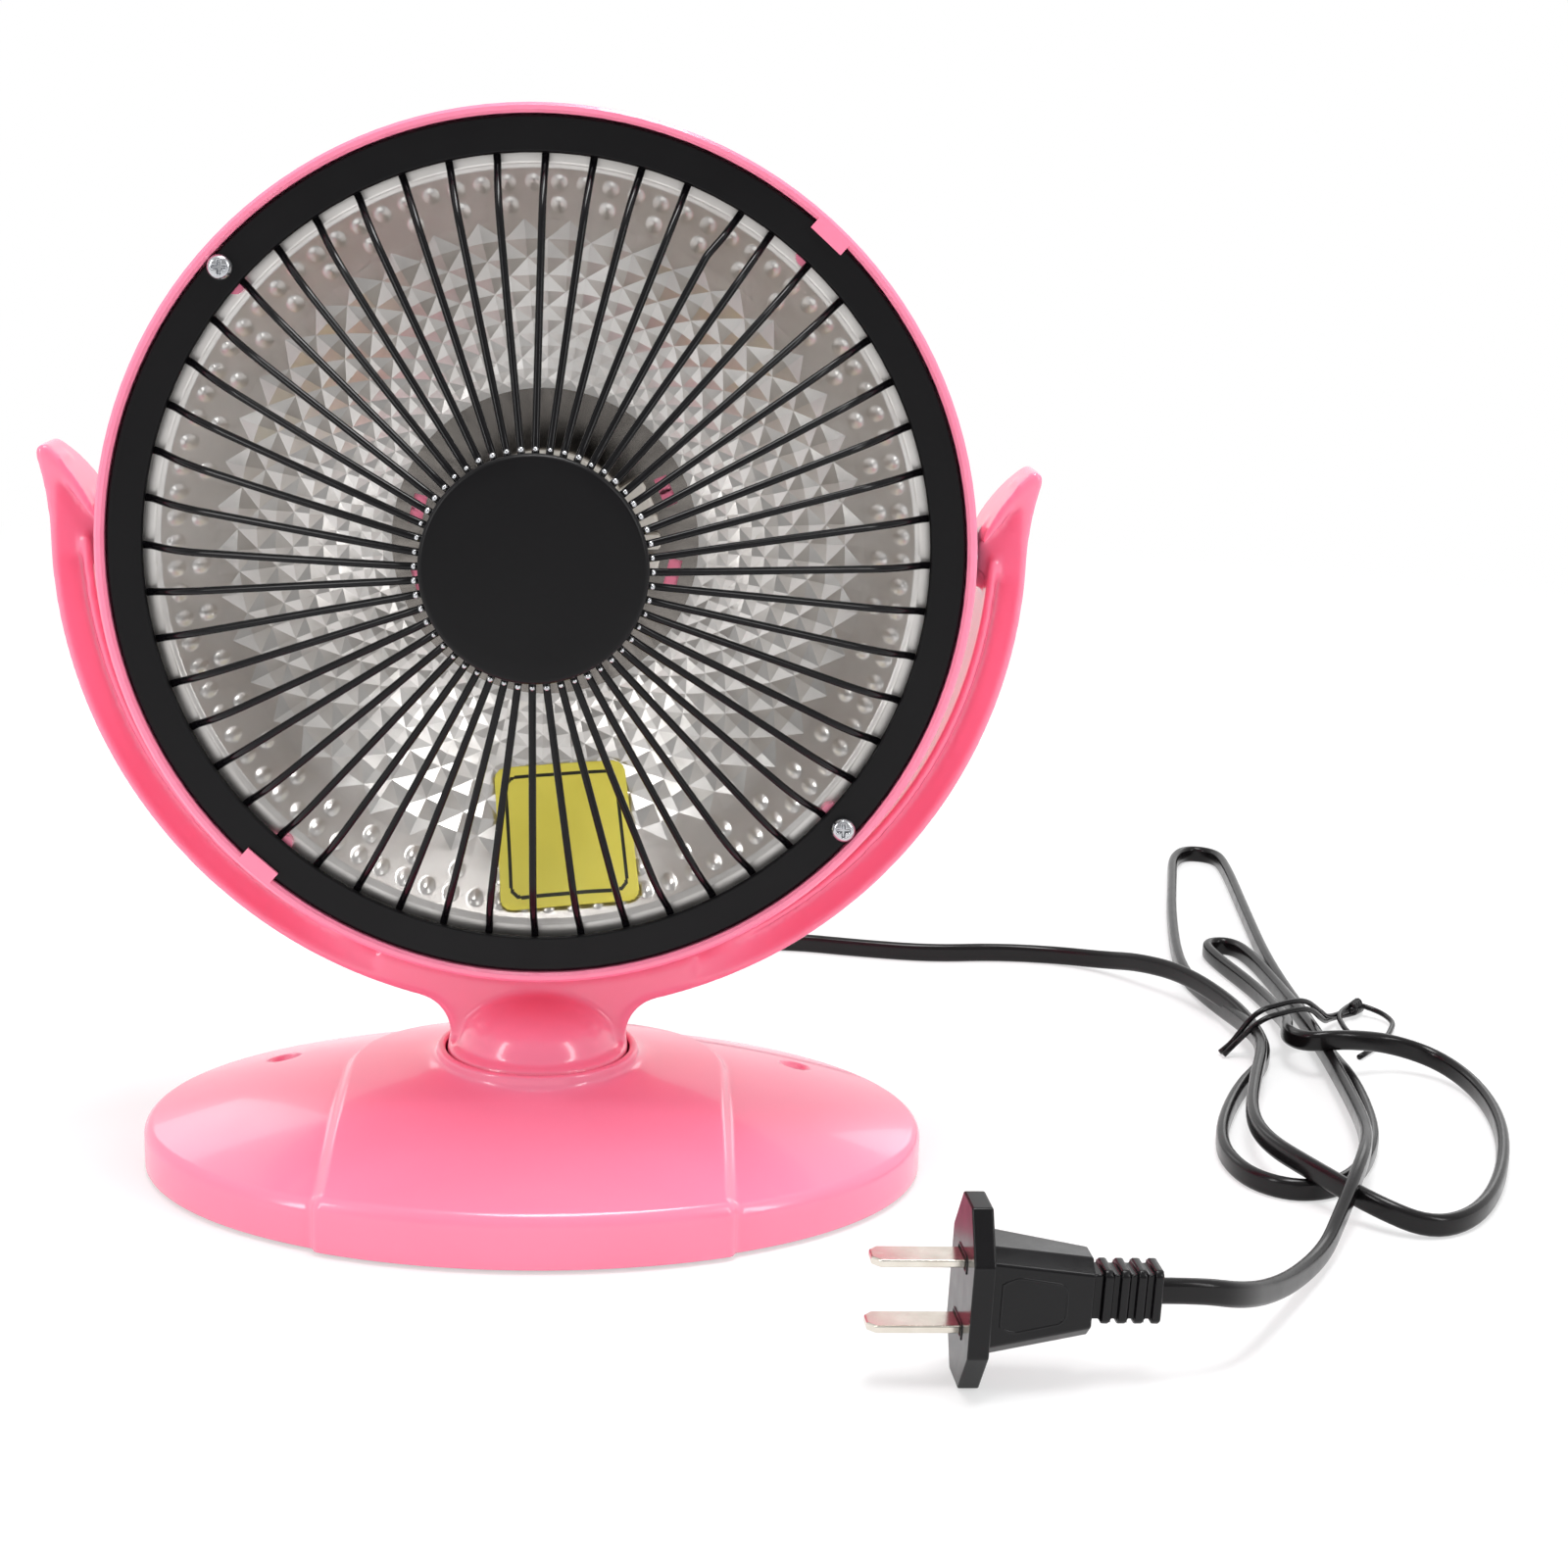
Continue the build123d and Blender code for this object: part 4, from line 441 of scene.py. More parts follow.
def footCrown(x, y, grow):
    # height of the dome above a point, and how far out the point lies: 1 on the outline
    halfX, halfY = foot["halfWidth"] + grow, foot["halfDepth"] + grow
    drop = foot["crown"] - foot["rim"]
    across = (halfX ** 2 + drop ** 2) / (2 * drop)
    along = (halfY ** 2 + drop ** 2) / (2 * drop)
    beside = (y - foot["middle"]) * math.sqrt(across / along)
    return foot["crown"] - across + math.sqrt(max(0, across ** 2 - x * x - beside * beside))


def footOutline(angle, grow):
    # distance from the swivel to the outline, in a direction
    halfX, halfY = foot["halfWidth"] + grow, foot["halfDepth"] + grow
    run, rise = math.cos(angle), math.sin(angle)
    shift = foot["swivelY"] - foot["middle"]
    a = (run / halfX) ** 2 + (rise / halfY) ** 2
    b = 2 * rise * shift / halfY ** 2
    c = (shift / halfY) ** 2 - 1
    return (-b + math.sqrt(b * b - 4 * a * c)) / (2 * a)


def footTop(x, y, panel):
    height = footCrown(x, y, foot["panelRise"] * panel) + foot["panelRise"] * panel
    for side in (-1, 1):
        distance = math.hypot(x - side * foot["dimpleX"], y - foot["dimpleY"])
        rimStart = foot["dimpleRadius"] - foot["dimpleSoft"]
        height -= foot["dimpleDepth"] * (1 - smoothStep(distance, rimStart, foot["dimpleRadius"]))
    return height


def footColumn(angle):
    # one radial line of the shell, from the bore of the collar over the dome to its inside
    run, rise = math.cos(angle), math.sin(angle)

    def point(distance, height):
        return Vector((run * distance, foot["swivelY"] + rise * distance, height)) * mm

    def at(distance):
        return run * distance, foot["swivelY"] + rise * distance

    bore, bend, collarTop = foot["collarBore"], foot["collarBend"], foot["collarTop"]
    column = [point(bore, foot["collarBack"]), point(bore, collarTop - bend)]
    for step in range(5):
        turn = math.pi / 2 * step / 4
        column.append(point(bore + bend * (1 - math.cos(turn)), collarTop - bend * (1 - math.sin(turn))))
    for step in range(5):
        turn = math.pi / 2 * step / 4
        column.append(point(foot["collarRadius"] - bend * (1 - math.sin(turn)),
                            collarTop - bend * (1 - math.cos(turn))))
    collarSide = collarTop - foot["collarSide"]
    for step in range(foot["flareSteps"] + 1):
        turn = math.pi / 2 * step / foot["flareSteps"]
        distance = foot["collarFoot"] - (foot["collarFoot"] - foot["collarRadius"]) * math.cos(turn)
        ground = footTop(*at(distance), footPanel(*at(distance)))
        share = 1 - math.sin(turn)
        column.append(point(distance, ground + (collarSide - ground) * share ** foot["flarePower"]))
    outer = footOutline(angle, 0)
    panel = footPanel(*at(outer * 0.985))
    outer = footOutline(angle, foot["panelRise"] * panel)
    edge = foot["edge"]
    reach = outer - edge
    for step in range(1, foot["rings"] + 1):
        distance = foot["collarFoot"] + (reach - foot["collarFoot"]) * step / foot["rings"]
        column.append(point(distance, footTop(*at(distance), footPanel(*at(distance)))))
    top = footTop(*at(reach), footPanel(*at(reach)))
    corner = footTop(*at(outer - edge * 0.2), footPanel(*at(reach)))
    for step in range(1, 8):
        share = step / 8
        column.append(point(reach + edge * math.sin(share * math.pi / 2),
                            top + (corner - top) * share - edge * (1 - math.cos(share * math.pi / 2))))
    low = top - edge - 0.4
    for share in (0.0, 0.25, 0.5, 0.75, 1.0):
        column.append(point(outer, low + (foot["lift"] + 0.5 - low) * share))
    column.append(point(outer - 0.2, foot["lift"] + 0.1))
    column.append(point(outer - 0.6, foot["lift"]))
    column.append(point(outer - foot["wall"], foot["lift"]))
    column.append(point(outer - foot["wall"], foot["rim"] - 1.5))
    column.append(point(outer - 16, foot["rim"] + 1.5))
    return column


columns = [footColumn(2 * math.pi * turn / foot["turns"]) for turn in range(foot["turns"])]
rowCount = len(columns[0])
footVertices = [columns[turn][row] for row in range(rowCount) for turn in range(foot["turns"])]
footShell = meshObject("footShell", footVertices, gridFaces(rowCount, foot["turns"]), [pink])
place(footShell, "foot", "pink_plastic", "foot_shell")
print("foot made")


# Reflector: an embossed dish, with two rows of dimples round rings of staggered pyramids

dish = {
    "flangeRadius": 85.7, "flangeFront": 24.6, "edgeRadius": 76.3, "floorRadius": 31.6, "floorFront": -0.4,
    "boreRadius": 2.6, "pyramids": 45, "pyramidRows": 12, "pyramidOuter": 66.4, "pyramidHeight": 1.2,
    "outerDimples": 90, "outerRow": 73.3, "innerRow": 69.2, "dimpleRadius": 1.55, "dimpleDepth": 0.85,
    "slotRadius": 27.6, "slotAngles": (24.5, 167.0, 197.5, 347.5), "slotLength": 6.4, "slotWidth": 2.8,
    "floorEdge": 0.7, "floorLift": 0.02, "edgeBend": 0.9, "edgeInset": 0.6, "bandSteps": 1440,
    "bandRings": 36, "gauge": 0.6,
}


def dishHeight(radius):
    share = (radius - dish["floorRadius"]) / (dish["edgeRadius"] - dish["floorRadius"])
    return dish["floorFront"] + (dish["flangeFront"] - dish["floorFront"]) * max(0, share) ** 2


def embossedPyramids():
    # every second point of the lattice is a peak, and each square is folded between its low points
    columnsInRing = 2 * dish["pyramids"]
    rows = dish["pyramidRows"]
    inner = dish["floorRadius"] + dish["floorEdge"]
    ratio = (dish["pyramidOuter"] / inner) ** (1 / rows)
    vertices, faces = [], []
    for row in range(rows + 1):
        radius = inner * ratio ** row
        for column in range(columnsInRing):
            angle = 2 * math.pi * (column + 0.5) / columnsInRing
            peak = (row + column) % 2 == 0 and 0 < row < rows
            rise = 0
            if peak:
                rise = dish["pyramidHeight"] * (0.5 + 0.5 * row / rows) * random.uniform(0.9, 1.1)
            wander = random.uniform(-0.08, 0.08) * peak
            vertices.append(polarOnHead(radius + wander, angle, dishHeight(radius) + rise))
    for row in range(rows):
        for column in range(columnsInRing):
            side = (column + 1) % columnsInRing
            a, b = row * columnsInRing + column, row * columnsInRing + side
            c, d = (row + 1) * columnsInRing + side, (row + 1) * columnsInRing + column
            if (row + column) % 2 == 0:
                faces += [(a, b, d), (b, c, d)]
            else:
                faces += [(a, b, c), (a, c, d)]
    return vertices, faces


def dimpleDrop(radius, angle):
    # drop of the two rows of round bumps at a point of the dish, below zero where they rise
    drop = 0
    outerCount = dish["outerDimples"]
    for row, count in ((dish["outerRow"], outerCount), (dish["innerRow"], outerCount // 2)):
        if abs(radius - row) < dish["dimpleRadius"]:
            pitch = 2 * math.pi / count
            offset = (angle + pitch / 2) % pitch - pitch / 2
            distance = math.hypot(radius - row, offset * radius)
            if distance < dish["dimpleRadius"]:
                share = distance / dish["dimpleRadius"]
                drop -= dish["dimpleDepth"] * (1 - share ** 2) ** 1.2
    return drop


def dimpledBand():
    steps, rings = dish["bandSteps"], dish["bandRings"]
    inner, outer = dish["pyramidOuter"], dish["edgeRadius"] - dish["edgeInset"]
    vertices = []
    for ring in range(rings + 1):
        radius = inner + (outer - inner) * ring / rings
        for step in range(steps):
            angle = 2 * math.pi * step / steps
            vertices.append(polarOnHead(radius, angle, dishHeight(radius) - dimpleDrop(radius, angle)))
    return vertices, gridFaces(rings + 1, steps)


def dishRim():
    # the rounded edge of the dish, the flat flange under the ring and the back of the sheet
    outer, front, bend, inset = dish["edgeRadius"], dish["flangeFront"], dish["edgeBend"], dish["edgeInset"]
    top = dishHeight(outer - inset)
    edge = [(outer - inset, top), (outer - 0.25, top + 0.28)]
    for step in range(5):
        turn = math.pi / 4 * (1 - step / 4)
        edge.append((outer + bend - bend * math.sin(turn), front - bend + bend * math.cos(turn)))
    edge.append((dish["flangeRadius"], front))
    back = [(dish["flangeRadius"], front - dish["gauge"]), (outer + 0.6, front - dish["gauge"])]
    for step in range(9):
        radius = outer + (dish["floorRadius"] - outer) * step / 8
        back.append((radius, dishHeight(radius) - 0.7))
    back.append((dish["boreRadius"], dish["floorFront"] - 0.6))
    return joined([lathed(edge, 180, False), lathed(back, 180, False)])


def mirrorFloor():
    # the plain disc in the middle of the dish, with four slots
    outline = bmesh.new()
    steps = 180
    radius, level = dish["floorRadius"] + dish["floorEdge"], dish["floorFront"] + dish["floorLift"]
    ring = [outline.verts.new(polarOnHead(radius, 2 * math.pi * (step + 0.5) / steps, level))
            for step in range(steps)]
    edges = [outline.edges.new((ring[step], ring[(step + 1) % steps])) for step in range(steps)]
    for center in dish["slotAngles"]:
        turn = math.radians(center)
        out = Vector((math.cos(turn), math.sin(turn)))
        along = Vector((-out.y, out.x))
        corners = []
        for corner in range(24):
            angle = 2 * math.pi * corner / 24
            a = max(-1, min(1, 1.6 * math.cos(angle))) * dish["slotLength"] / 2
            b = max(-1, min(1, 1.6 * math.sin(angle))) * dish["slotWidth"] / 2
            spot = out * (dish["slotRadius"] + b) + along * a
            corners.append(outline.verts.new(onHead(spot.x, spot.y, level)))
        edges += [outline.edges.new((corners[k], corners[(k + 1) % 24])) for k in range(24)]
    bmesh.ops.triangle_fill(outline, edges=edges, use_beauty=True)
    outline.verts.index_update()
    vertices = [vertex.co.copy() for vertex in outline.verts]
    faces = [tuple(vertex.index for vertex in face.verts) for face in outline.faces]
    outline.free()
    return vertices, faces


pyramidPart, bandPart, rimPart, floorPart = embossedPyramids(), dimpledBand(), dishRim(), mirrorFloor()
reflectorVertices, reflectorFaces = joined([pyramidPart, bandPart, rimPart, floorPart])
reflector = meshObject("reflectorDish", reflectorVertices, reflectorFaces, [sheet, mirror])
flatFaces = len(pyramidPart[1])
floorStart = flatFaces + len(bandPart[1]) + len(rimPart[1])
for index, polygon in enumerate(reflector.data.polygons):
    if index < flatFaces:
        polygon.use_smooth = False
    if index >= floorStart:
        polygon.material_index = 1
        polygon.use_smooth = False
place(turnedOut(reflector), "head", "reflector_sheet", "reflector")
print("reflector made")


# Wire guard: round wires, each bent twice beside the ring and once under the hub cap

guard = {
    "wires": 52, "radius": 0.76, "sides": 12, "rootRadius": 80.3, "bendRadius": 77.4, "rootFront": 27.2,
    "kneeRadius": 72.5, "kneeFront": 33.5, "shoulderRadius": 67.5, "shoulderFront": 37.2,
    "middleRadius": 45.0, "middleShare": 0.51, "hubBendRadius": 23.4, "tipRadius": 18.0, "tipFront": 54.9,
    "bentWire": 48, "bentShift": -2.0,
}


def guardWire(number):
    angle = math.pi / 2 + 2 * math.pi * number / guard["wires"]
    sway = random.uniform(-0.25, 0.25)
    lift = random.uniform(-0.25, 0.25)
    bent = guard["bentShift"] if number == guard["bentWire"] else 0
    root, shoulder, tip = guard["rootFront"], guard["shoulderFront"], guard["tipFront"]
    stations = [
        (guard["rootRadius"], bent * 1.25, root),
        (guard["bendRadius"], bent * 1.1, root),
        (guard["kneeRadius"], bent * 0.6 + sway, guard["kneeFront"]),
        (guard["shoulderRadius"], sway * 1.3, shoulder + lift),
        (guard["middleRadius"], sway, shoulder + (tip - shoulder) * guard["middleShare"] + lift),
        (guard["hubBendRadius"], sway * 0.3, tip),
        (guard["tipRadius"], 0, tip),
    ]
    points = []
    for radius, across, forward in stations:
        points.append(onHead(radius * math.cos(angle) - across * math.sin(angle),
                             radius * math.sin(angle) + across * math.cos(angle), forward))
    bendReach = 1.2 if number == guard["bentWire"] else 4.0
    return tubeMesh(roundedPath(points, bendReach * mm), guard["radius"] * mm, guard["sides"])


wireVertices, wireFaces = joined([guardWire(number) for number in range(guard["wires"])])
guardWires = meshObject("guardWires", wireVertices, wireFaces, [wireEnamel])
place(guardWires, "head", "black_enamel", "guard_wires")
print("guard made")


# Hub cap: a pressed disc with a turned-down rim

hub = {"radius": 22.0, "front": 57.3, "depth": 1.6, "edge": 1.1, "dome": 0.25}


def hubCapProfile():
    back = hub["front"] - hub["depth"]
    profile = [(0.001, back + 0.5), (hub["radius"] - 0.7, back + 0.5), (hub["radius"] - 0.7, back),
               (hub["radius"] - 0.15, back), (hub["radius"], back + 0.15)]
    for step in range(7):
        turn = math.pi / 2 * step / 6
        profile.append((hub["radius"] - hub["edge"] * (1 - math.cos(turn)),
                        hub["front"] - hub["dome"] - hub["edge"] * (1 - math.sin(turn))))
    for share in (0.85, 0.6, 0.3, 0.0001):
        radius = (hub["radius"] - hub["edge"]) * share
        profile.append((radius, hub["front"] - hub["dome"] * share ** 2))
    return profile


hubVertices, hubFaces = lathed(hubCapProfile(), 160, False)
hubCap = meshObject("hubCap", hubVertices, hubFaces, [enamel])
place(hubCap, "head", "black_enamel", "hub_cap")
print("hub made")


# Glint beads: bright zinc dots beside the cap, one on each wire, painted highlights for the glint where
# each wire bends under the cap

glints = {"radius": 22.7, "front": 55.5, "size": 0.62, "steps": 8}


def glintBead(number):
    angle = math.pi / 2 + 2 * math.pi * number / guard["wires"]
    middle = polarOnHead(glints["radius"] + random.uniform(-0.15, 0.15), angle, glints["front"])
    size = glints["size"] * random.uniform(0.8, 1.15) * mm
    vertices = [middle + Vector((0, 0, size))]
    for ring in range(1, 5):
        lift, around = math.cos(math.pi * ring / 5), math.sin(math.pi * ring / 5)
        for step in range(glints["steps"]):
            turn = 2 * math.pi * step / glints["steps"]
            spot = Vector((math.cos(turn) * around, math.sin(turn) * around, lift))
            vertices.append(middle + spot * size)
    vertices.append(middle - Vector((0, 0, size)))
    faces = []
    for ring in range(3):
        for step in range(glints["steps"]):
            first, second = 1 + ring * glints["steps"], 1 + (ring + 1) * glints["steps"]
            side = (step + 1) % glints["steps"]
            faces.append((first + step, second + step, second + side, first + side))
    last = len(vertices) - 1
    for step in range(glints["steps"]):
        side = (step + 1) % glints["steps"]
        faces.append((0, 1 + step, 1 + side))
        faces.append((last, 1 + 3 * glints["steps"] + side, 1 + 3 * glints["steps"] + step))
    return vertices, faces


glintVertices, glintFaces = joined([glintBead(number) for number in range(guard["wires"])])
# bright zinc, so each bead shows as a painted glint on its wire beside the cap
place(meshObject("glintBeads", glintVertices, glintFaces, [zinc]), "head", "zinc_steel")
print("weld beads made")


# Ring screws: pan heads with a cross recess

screws = {
    "radius": 83.2, "angles": (139.0, 319.0), "headRadius": 2.65, "seat": 29.0, "height": 2.0, "shank": 1.3,
    "shankBack": 22.0, "crossReach": 1.55, "crossHalf": 0.36, "crossDepth": 1.0, "turns": 48,
}


def screwHead(angle):
    # the head's dome as a fine grid, pushed in along the arms of the cross
    spot = Vector((math.cos(math.radians(angle)), math.sin(math.radians(angle)))) * screws["radius"]
    vertices = []
    rings = 26
    for ring in range(rings + 1):
        radius = screws["headRadius"] * ring / rings
        for step in range(screws["turns"]):
            turn = 2 * math.pi * (step + 0.5) / screws["turns"]
            across, up = radius * math.cos(turn), radius * math.sin(turn)
            fall = math.sqrt(max(0, 1 - (radius / screws["headRadius"]) ** 4))
            front = screws["seat"] + screws["height"] * fall
            arm = min(abs(across), abs(up))
            reach = max(abs(across), abs(up))
            inside = 1 - smoothStep(arm, screws["crossHalf"] - 0.12, screws["crossHalf"] + 0.05)
            inside *= 1 - smoothStep(reach, screws["crossReach"] - 0.3, screws["crossReach"])
            vertices.append(onHead(spot.x + across, spot.y + up, front - screws["crossDepth"] * inside))
    faces = gridFaces(rings + 1, screws["turns"])
    shank = [onHead(spot.x, spot.y, front) for front in (screws["shankBack"], screws["seat"] + 0.2)]
    return joined([(vertices, faces), tubeMesh(shank, screws["shank"] * mm, 24)])


screwVertices, screwFaces = joined([screwHead(angle) for angle in screws["angles"]])
place(meshObject("ringScrews", screwVertices, screwFaces, [zinc]), "head", "zinc_steel", "ring_screws")
print("ring screws made")


# Ceramic former: a cone on a round base, with teeth on the side of its leads

former = {
    "base": 19.5, "baseFront": 4.6, "back": -0.4, "coneLow": 16.0, "coneHigh": 10.5, "coneFront": 33.6,
    "cap": 13.5, "capFront": 37.6, "teeth": (-9, 3, 13, 23, 33), "toothReach": 24.2, "toothHalf": 1.5,
    "toothFront": 5.4,
}


def formerTooth(angle):
    turn = math.radians(angle)
    out, along = Vector((math.cos(turn), math.sin(turn))), Vector((-math.sin(turn), math.cos(turn)))
    tip, half, back, front = former["toothReach"], former["toothHalf"], former["back"], former["toothFront"]
    vertices = []
    for reach, wide, high in ((former["base"] - 2, half, front), (tip - 0.5, half, front),
                              (tip, half - 0.4, front - 0.6)):
        for side, forward in ((-1, back), (1, back), (1, high), (-1, high)):
            spot = out * reach + along * side * wide
            vertices.append(onHead(spot.x, spot.y, forward))
    return vertices, gridFaces(3, 4) + [(0, 1, 2, 3), (11, 10, 9, 8)]


def formerProfile():
    base, low, back = former["base"], former["baseFront"], former["back"]
    cap, high, front = former["cap"], former["coneFront"], former["capFront"]
    return [(0.01, back), (base, back), (base, low - 0.5), (base - 0.5, low), (former["coneLow"], low),
            (former["coneHigh"], high), (cap, high), (cap, front - 0.6), (cap - 0.6, front), (0.01, front)]


formerParts = [lathed(formerProfile(), 96, False)] + [formerTooth(angle) for angle in former["teeth"]]
formerVertices, formerFaces = joined(formerParts)
formerPiece = meshObject("ceramicFormer", formerVertices, formerFaces, [ceramic], False)
place(turnedOut(formerPiece), "head", "white_ceramic", "ceramic_former")
print("ceramic made")


# Housing bosses: seen pink beside the ring, and pink through the slots of the dish

bosses = {
    "ringRadius": 79.3, "angles": (49.5, 139.5, 229.5, 319.5), "size": 2.0, "back": 24.6, "front": 27.4,
    "slotBack": -2.4, "slotFront": -0.9, "slotSize": 2.3, "slotTurn": 3.6,
}


def housingBoss(radius, angle, size, back, front):
    turn = math.radians(angle)
    line = [onHead(radius * math.cos(turn), radius * math.sin(turn), forward) for forward in (back, front)]
    return tubeMesh(line, size * mm, 24)


bossParts = [housingBoss(bosses["ringRadius"], angle, bosses["size"], bosses["back"], bosses["front"])
             for angle in bosses["angles"]]
for center in dish["slotAngles"]:
    for angle in (center - bosses["slotTurn"], center + bosses["slotTurn"]):
        bossParts.append(housingBoss(dish["slotRadius"], angle, bosses["slotSize"],
                                     bosses["slotBack"], bosses["slotFront"]))
bossVertices, bossFaces = joined(bossParts)
place(meshObject("housingBosses", bossVertices, bossFaces, [pink], False), "head", "pink_plastic")
print("bosses made")


# Label: a plain yellow sheet stuck over the embossing, with a printed border and no signs

label = {
    "corners": ((-7.2, -74.6), (21.6, -71.6), (17.4, -45.4), (-10.1, -47.9)), "lift": 1.35, "round": 0.09,
    "border": (0.07, 0.088), "across": 120, "up": 120, "edgeStart": 73, "edgeEnd": 76, "wave": 0.12,
    "thick": 0.12,
}


def labelPoint(u, v):
    low = Vector(label["corners"][0]).lerp(Vector(label["corners"][1]), u)
    high = Vector(label["corners"][3]).lerp(Vector(label["corners"][2]), u)
    spot = low.lerp(high, v)
    radius = min(spot.length, label["edgeEnd"])
    wave = label["wave"] * math.sin(u * 17 + v * 3) * math.sin(v * 13)
    lift = label["lift"] * (1 - smoothStep(radius, label["edgeStart"], label["edgeEnd"]))
    return onHead(spot.x, spot.y, dishHeight(radius) + lift + wave)


def cornerDistance(u, v, inset):
    # distance inside a rounded square drawn at an inset
    half = 0.5 - inset - label["round"]
    across, up = max(0, abs(u - 0.5) - half), max(0, abs(v - 0.5) - half)
    return label["round"] - math.hypot(across, up)


labelVertices, labelFaces, labelInk = [], [], []
for row in range(label["up"] + 1):
    for column in range(label["across"] + 1):
        labelVertices.append(labelPoint(column / label["across"], row / label["up"]))
for row in range(label["up"]):
    for column in range(label["across"]):
        u, v = (column + 0.5) / label["across"], (row + 0.5) / label["up"]
        if cornerDistance(u, v, 0) < 0:
            continue
        start = row * (label["across"] + 1) + column
        labelFaces.append((start, start + 1, start + label["across"] + 2, start + label["across"] + 1))
        outer, inner = (cornerDistance(u, v, inset) for inset in label["border"])
        labelInk.append(1 if outer >= 0 > inner else 0)
labelPiece = meshObject("plainLabel", labelVertices, labelFaces, [yellowVinyl, printBlack])
labelPiece.data.polygons.foreach_set("material_index", labelInk)
sheetDepth = labelPiece.modifiers.new("sheet", "SOLIDIFY")
sheetDepth.thickness = label["thick"] * mm
place(labelPiece, "head", "grey_plastic")
print("label made")


# Mains cord: a flat twin cord that stands on edge in its loops

def twinProfile(name, width, height):
    # closed section of a flat twin cord: two round cores side by side
    curve = bpy.data.curves.new(name, "CURVE")
    curve.dimensions = "2D"
    spline = curve.splines.new("BEZIER")
    corners = []
    steps = 24
    for step in range(steps):
        angle = 2 * math.pi * step / steps
        lobe = height / 2 - width / 2
        up = math.sin(angle) * width / 2 + (lobe if math.sin(angle) > 0 else -lobe)
        waist = 1 - 0.16 * math.exp(-((up / (width * 0.2)) ** 2))
        corners.append((math.cos(angle) * width / 2 * waist, up))
    spline.bezier_points.add(len(corners) - 1)
    for point, (across, up) in zip(spline.bezier_points, corners):
        point.co = (across, up, 0)
        point.handle_left_type = "AUTO"
        point.handle_right_type = "AUTO"
    spline.use_cyclic_u = True
    profile = bpy.data.objects.new(name, curve)
    bpy.context.scene.collection.objects.link(profile)
    profile.hide_render = True
    profile.hide_viewport = True
    return profile


cord = {
    "width": 5.0, "thickness": 2.8, "length": 1.525, "exit": (0.010, 0.0814, 0.0052),
    "points": [
        (10, 81.4, 5.2), (10, 95.4, 5.2), (11.5, 117, 2.5), (20, 139, 2.5), (39, 155, 2.5),
        (62, 158, 2.5), (84, 152, 2.5), (103, 148.5, 2.5), (121, 151, 2.5), (138, 149, 2.5),
        (150, 142, 3.5), (158, 131, 6.5), (167.6, 117.8, 7.5), (176, 96, 6), (179, 79, 3.5),
        (177, 63, 2.5), (164, 41, 2.5), (153, 10, 2.5), (154, -9, 2.5), (162, -18, 2.5),
        (172, -17, 2.5), (180, -9, 2.5), (188, 7, 2.5), (192, 23, 2.5), (195, 49, 2.5), (194, 68, 2.5),
        (195, 91, 2.5), (196, 141, 2.5), (201, 191, 2.5), (207, 247, 2.5), (206, 259, 2.5),
        (197, 262, 2.5), (191, 251, 2.5), (187, 231, 2.5), (178, 188, 2.5), (170, 137, 2.5),
        (173, 113, 2.5), (177, 79, 5.5), (175, 60, 7.5), (167, 35, 7.5), (161, 13, 7.5), (161, -3, 7.5),
        (167, -18, 7.5), (177, -33, 5.5), (188, -38, 2.5), (200, -31, 2.5), (212, -10, 2.5),
        (222, 19, 2.5), (225, 45, 2.5), (220, 61, 4.5), (208, 65, 7.5), (195, 60, 10), (185, 60, 9),
        (183, 71, 7.5), (187, 83, 6), (188, 103, 3.5), (187, 123, 2.5), (182, 149, 2.5),
        (182, 160, 2.5), (190, 161, 2.5), (193, 149, 2.5), (194, 124, 2.5), (193, 95, 4.5),
        (192, 68, 5), (190, 37, 5), (186.5, 9, 6.5), (180.5, -12, 9.5), (174, -27, 8.5),
        (167.3, -40.5, 5.5), (161.3, -52.6, 3.5), (151.5, -68.5, 5), (142, -83.5, 9),
        (133.5, -95.5, 13.8), (125.5, -99.6, 16.6), (117, -100.2, 16.8),
    ],
}
profile = twinProfile("cordSection", cord["thickness"] * mm, cord["width"] * mm)
cordCurve = bpy.data.curves.new("mainsCord", "CURVE")
cordCurve.dimensions = "3D"
cordCurve.twist_mode = "Z_UP"
cordCurve.bevel_mode = "OBJECT"
cordCurve.bevel_object = profile
cordCurve.use_fill_caps = True
cordCurve.resolution_u = 6
cordCurve.materials.append(sheath)
route = cordCurve.splines.new("NURBS")
route.points.add(len(cord["points"]) - 1)
for spot, (x, y, z) in zip(route.points, cord["points"]):
    spot.co = (x * mm, y * mm, z * mm, 1)
route.order_u = 3
route.use_endpoint_u = True
mainsCord = bpy.data.objects.new("mainsCord", cordCurve)
bpy.context.scene.collection.objects.link(mainsCord)
place(mainsCord, "foot", "cord_sheath", "cord_run", "cord_hank", "cord_lead")
print("cord made")


# Plug details: the frame of the grip's recess and the collars round the blades

plug = {
    "face": (80.5, -102.8, 17.8), "tail": (117.0, -100.2, 16.8), "side": (7.2, -0.1), "frame": 0.32,
    "recess": ((6.2, -4.4), (6.2, 4.2), (9.0, 5.2), (17.5, 3.6), (18.5, 2.0), (18.5, -2.8), (17.5, -4.0),
               (9.0, -5.4)),
    "blades": 12.7, "slotHalf": (4.0, 1.35), "slotWire": 0.28, "slotFront": 0.05, "bend": 0.9,
}
plugLine = (Vector(plug["tail"]) - Vector(plug["face"])).normalized()
plugSide = plugLine.cross(Vector((0, 0, 1))).normalized()
plugUp = plugSide.cross(plugLine).normalized()


def onPlug(along, side, up):
    # a point of the plug, from the middle of its face
    return (Vector(plug["face"]) + plugLine * along + plugSide * side + plugUp * up) * mm


def closedTube(points, radius):
    path = roundedPath(points + points[:2], plug["bend"] * mm, 4)
    return tubeMesh(path[1:], radius * mm, 8, False)


